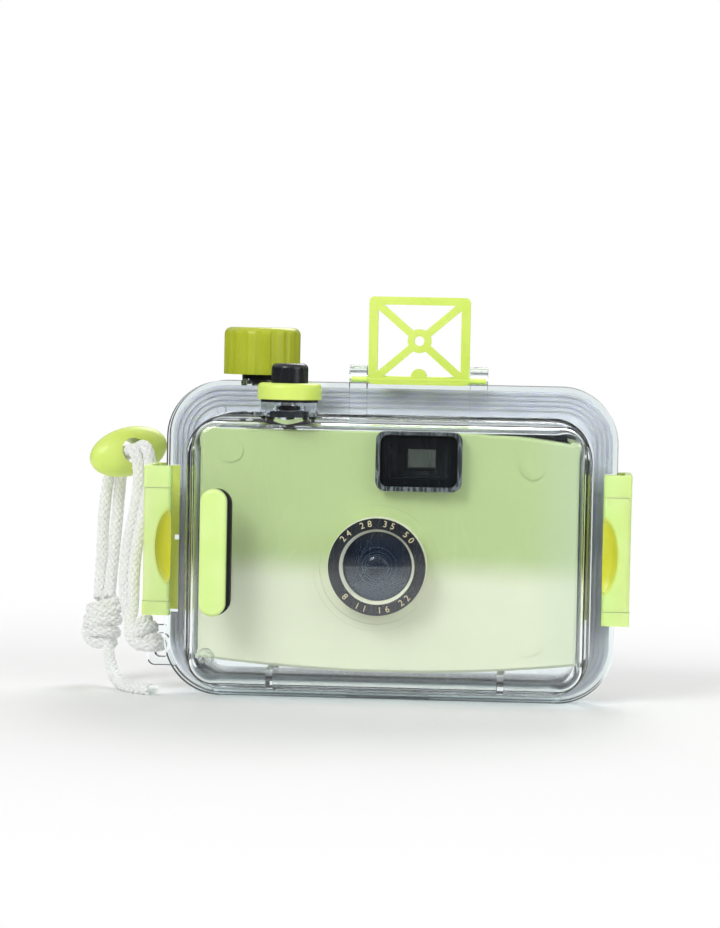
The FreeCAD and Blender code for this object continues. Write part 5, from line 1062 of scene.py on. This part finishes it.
@dataclass
class WristStrap:
    """Braided strap: two strands through the float, a hitch, an end knot and a frayed tail."""

    palette: Palette
    diameter: float = 3.2
    body: str = "rear_case"
    braid: Braid = field(default_factory=Braid)
    knot: Winding = Winding((-86.7, 18.0, 25.2), (-87.1, 17.0, 11.6), 4.3, 4.8, 0.26, 2.6)
    hitch: Winding = Winding((-74.2, 4.6, 20.0), (-70.4, 1.4, 13.4), 3.0, 2.8, 0.26, 2.2, rise=0.6)
    fray_strands: int = 26
    fray_length: float = 4.2
    fray_thick: float = 0.22
    fray_root: float = 0.8
    fray_lowest: float = 0.35
    strands: dict[Side, tuple[Point, ...]] = field(default_factory=lambda: {
        Side.LEFT: (
            (-67.4, 3.6, 13.3), (-67.4, 6.7, 13.3), (-69.5, 9.0, 13.5), (-72.7, 9.7, 14.2),
            (-76.0, 11.4, 16.6), (-78.7, 13.6, 20.8), (-80.0, 14.8, 26.4), (-80.2, 15.2, 33.5),
            (-79.6, 15.3, 41.0), (-78.2, 14.8, 48.0), (-76.7, 13.7, 55.0), (-76.0, 12.7, 61.0),
            (-76.1, 12.2, 65.4), (-76.9, 12.6, 68.6), (-78.2, 14.6, 70.4), (-79.6, 17.2, 69.9),
            (-82.0, 21.8, 68.9), (-84.4, 26.6, 67.9), (-86.0, 29.4, 66.6), (-87.2, 30.6, 63.4),
            (-88.2, 30.4, 57.0), (-88.6, 28.0, 48.5), (-88.4, 25.0, 40.0), (-88.4, 22.2, 32.6),
            (-88.4, 20.2, 25.2),
        ),
        Side.RIGHT: (
            (-67.4, 3.6, 13.3), (-67.4, 0.3, 13.3), (-69.4, -2.1, 13.3), (-72.5, -2.6, 13.7),
            (-75.4, -1.0, 14.6), (-77.2, 4.9, 17.6), (-76.9, 11.0, 23.2), (-77.1, 12.4, 30.0),
            (-76.8, 12.5, 37.5), (-75.7, 12.4, 45.0), (-74.1, 12.0, 52.5), (-72.6, 11.7, 59.5),
            (-72.5, 11.6, 65.0), (-73.0, 12.0, 69.2), (-74.6, 14.4, 71.6), (-76.6, 18.2, 70.9),
            (-79.2, 23.4, 69.7), (-81.6, 28.2, 68.7), (-82.9, 31.0, 67.4), (-83.8, 32.2, 64.2),
            (-84.4, 32.0, 57.6), (-84.6, 29.0, 48.5), (-84.8, 25.2, 40.0), (-85.0, 21.4, 32.6),
            (-85.0, 17.6, 25.6),
        ),
    })
    tail: tuple[Point, ...] = (
        (-85.4, 15.6, 13.2), (-84.4, 12.8, 9.2), (-82.8, 9.0, 5.2), (-80.6, 3.8, 2.4),
        (-77.6, -2.6, 1.7), (-73.8, -8.2, 1.7), (-68.6, -11.6, 1.8),
    )

    def _piece(self, name: str, mesh: bpy.types.Mesh, *nodes: str) -> bpy.types.Object:
        """Make a piece of white braid that stands for CAD nodes."""
        mesh.materials.append(self.palette.made["braid"])
        piece = placed(name, mesh)
        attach(piece, self.body)
        if nodes:
            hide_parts(*nodes)
        return piece

    def _knots(self) -> tuple[bpy.types.Object, bpy.types.Object]:
        """End knot and hitch as wound cord."""
        made = []
        for name, winding in (("end_knot", self.knot), ("hitch", self.hitch)):
            mesh = self.braid.mesh(f"{name}_braid", smooth_route(f"{name}_route", winding.points()))
            made.append(self._piece(f"{name}_braid", mesh, f"strap_{name}"))
        return made[0], made[1]

    def _fray(self, line: Sequence[Vector]) -> bpy.types.Object:
        """Loose filaments at the tail's cut end."""
        chance = random.Random(7)
        end = line[-1]
        along = (line[-1] - line[-2]).normalized()
        side = along.orthogonal().normalized()
        other = along.cross(side)
        work = bmesh.new()
        layer = work.loops.layers.uv.new("yarn")
        for _number in range(self.fray_strands):
            turn = chance.uniform(0, 2 * math.pi)
            start = chance.uniform(0.2, 1.15) * MM
            spread = chance.uniform(1.1, 1.9)
            reach = self.fray_length * MM * chance.uniform(0.5, 1.0)
            outward = swung(side, other, turn)
            rings = []
            for step in range(5):
                share = step / 4
                spot = end - along * self.fray_root * MM + along * reach * share
                spot += outward * start * (1 + (spread - 1) * share)
                spot.z = max(spot.z, self.fray_lowest * MM)
                thin = self.fray_thick * MM * (1 - 0.5 * share)
                angles = [math.pi * corner / 2 for corner in range(4)]
                corners = [spot + swung(side, other, angle) * thin for angle in angles]
                rings.append([work.verts.new(corner) for corner in corners])
            for low, high in zip(rings, rings[1:]):
                for corner in range(4):
                    after = (corner + 1) % 4
                    face = work.faces.new((low[corner], low[after], high[after], high[corner]))
                    for loop in face.loops:
                        loop[layer].uv = (turn, reach / MM)
            work.faces.new(rings[-1])
        return self._piece("tail_fray", finished_mesh("tail_fray", work))

    def build(self) -> None:
        knot, hitch = self._knots()
        for side, points in self.strands.items():
            line = smooth_route(f"strand_{side.value}_route", points)
            name = f"strand_{side.value}_braid"
            piece = self._piece(name, self.braid.mesh(name, line), f"strap_strand_{side.value}")
            LOG.info("%s is %.1f mm long", name, length_of(line) / MM)
        line = smooth_route("tail_route", self.tail)
        fray = self._fray(line)
        piece = self._piece("tail_braid", self.braid.mesh("tail_braid", line), "strap_tail")
        LOG.info("tail is %.1f mm long", length_of(line) / MM)


@dataclass
class RingMarks:
    """Champagne figures printed on the black lens ring."""

    palette: Palette
    centre_x: float = -2.8
    centre_z: float = 39.7
    print_radius: float = 12.45
    height: float = 1.9
    proud: float = 0.03
    top_text: str = "24 28 35 50"
    bottom_text: str = "8 11 16 22"
    letter_step: float = 10.2
    fill: float = 1.35

    def _letter(
        self, work: bmesh.types.BMesh, letter: str, angle: float, arc: Arc, face_y: float
    ) -> None:
        """Add one figure to the print.

        Args:
            work: mesh that takes the figure.
            letter: the figure.
            angle: its place round the ring, in degrees from the ring's top.
            arc: which half it stands on.
            face_y: level of the ring's face, in metres.
        """
        curve = bpy.data.curves.new("figure", "FONT")
        curve.body = letter
        curve.size = self.height * MM * self.fill
        curve.align_x = "CENTER"
        curve.align_y = "CENTER"
        curve.resolution_u = 4
        holder = bpy.data.objects.new("figure", curve)
        mesh = bpy.data.meshes.new_from_object(holder)
        stand = Matrix.Rotation(math.radians(90), 4, "X")
        turn = Matrix.Rotation(math.radians(angle), 4, "Y")
        flip = Matrix.Rotation(math.radians(0 if arc is Arc.TOP else 180), 4, "Y")
        out = Matrix.Translation((0.0, 0.0, self.print_radius * MM))
        seat = Matrix.Translation((self.centre_x * MM, face_y - self.proud * MM, self.centre_z * MM))
        mesh.transform(seat @ turn @ out @ flip @ stand)
        work.from_mesh(mesh)
        bpy.data.objects.remove(holder)
        bpy.data.meshes.remove(mesh)

    def build(self) -> None:
        """Make the print as one piece."""
        face_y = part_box("lens_ring")[0][1]
        work = bmesh.new()
        for text, arc in ((self.top_text, Arc.TOP), (self.bottom_text, Arc.BOTTOM)):
            middle = 0.0 if arc is Arc.TOP else 180.0
            for index, letter in enumerate(text):
                offset = (index - (len(text) - 1) / 2) * self.letter_step
                if letter != " ":
                    self._letter(work, letter, middle + offset * arc.value, arc, face_y)
        bmesh.ops.recalc_face_normals(work, faces=work.faces)
        mesh = finished_mesh("ring_marks", work)
        mesh.materials.append(self.palette.made["print"])
        piece = placed("ring_marks", mesh)
        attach(piece, "front_case")


def main() -> None:
    """Build the view, the strap, the finishes and the studio in order."""
    logging.basicConfig(level=logging.INFO, format="%(message)s")
    bpy.context.scene.view_settings.view_transform = "Standard"
    PhotoCamera().build()
    LOG.info("camera")
    palette = Palette()
    palette.dress()
    WristStrap(palette).build()
    LOG.info("wrist strap")
    RingMarks(palette).build()
    LOG.info("ring marks")
    Studio().build()
    LOG.info("studio")


if __name__ == "__main__":
    main()
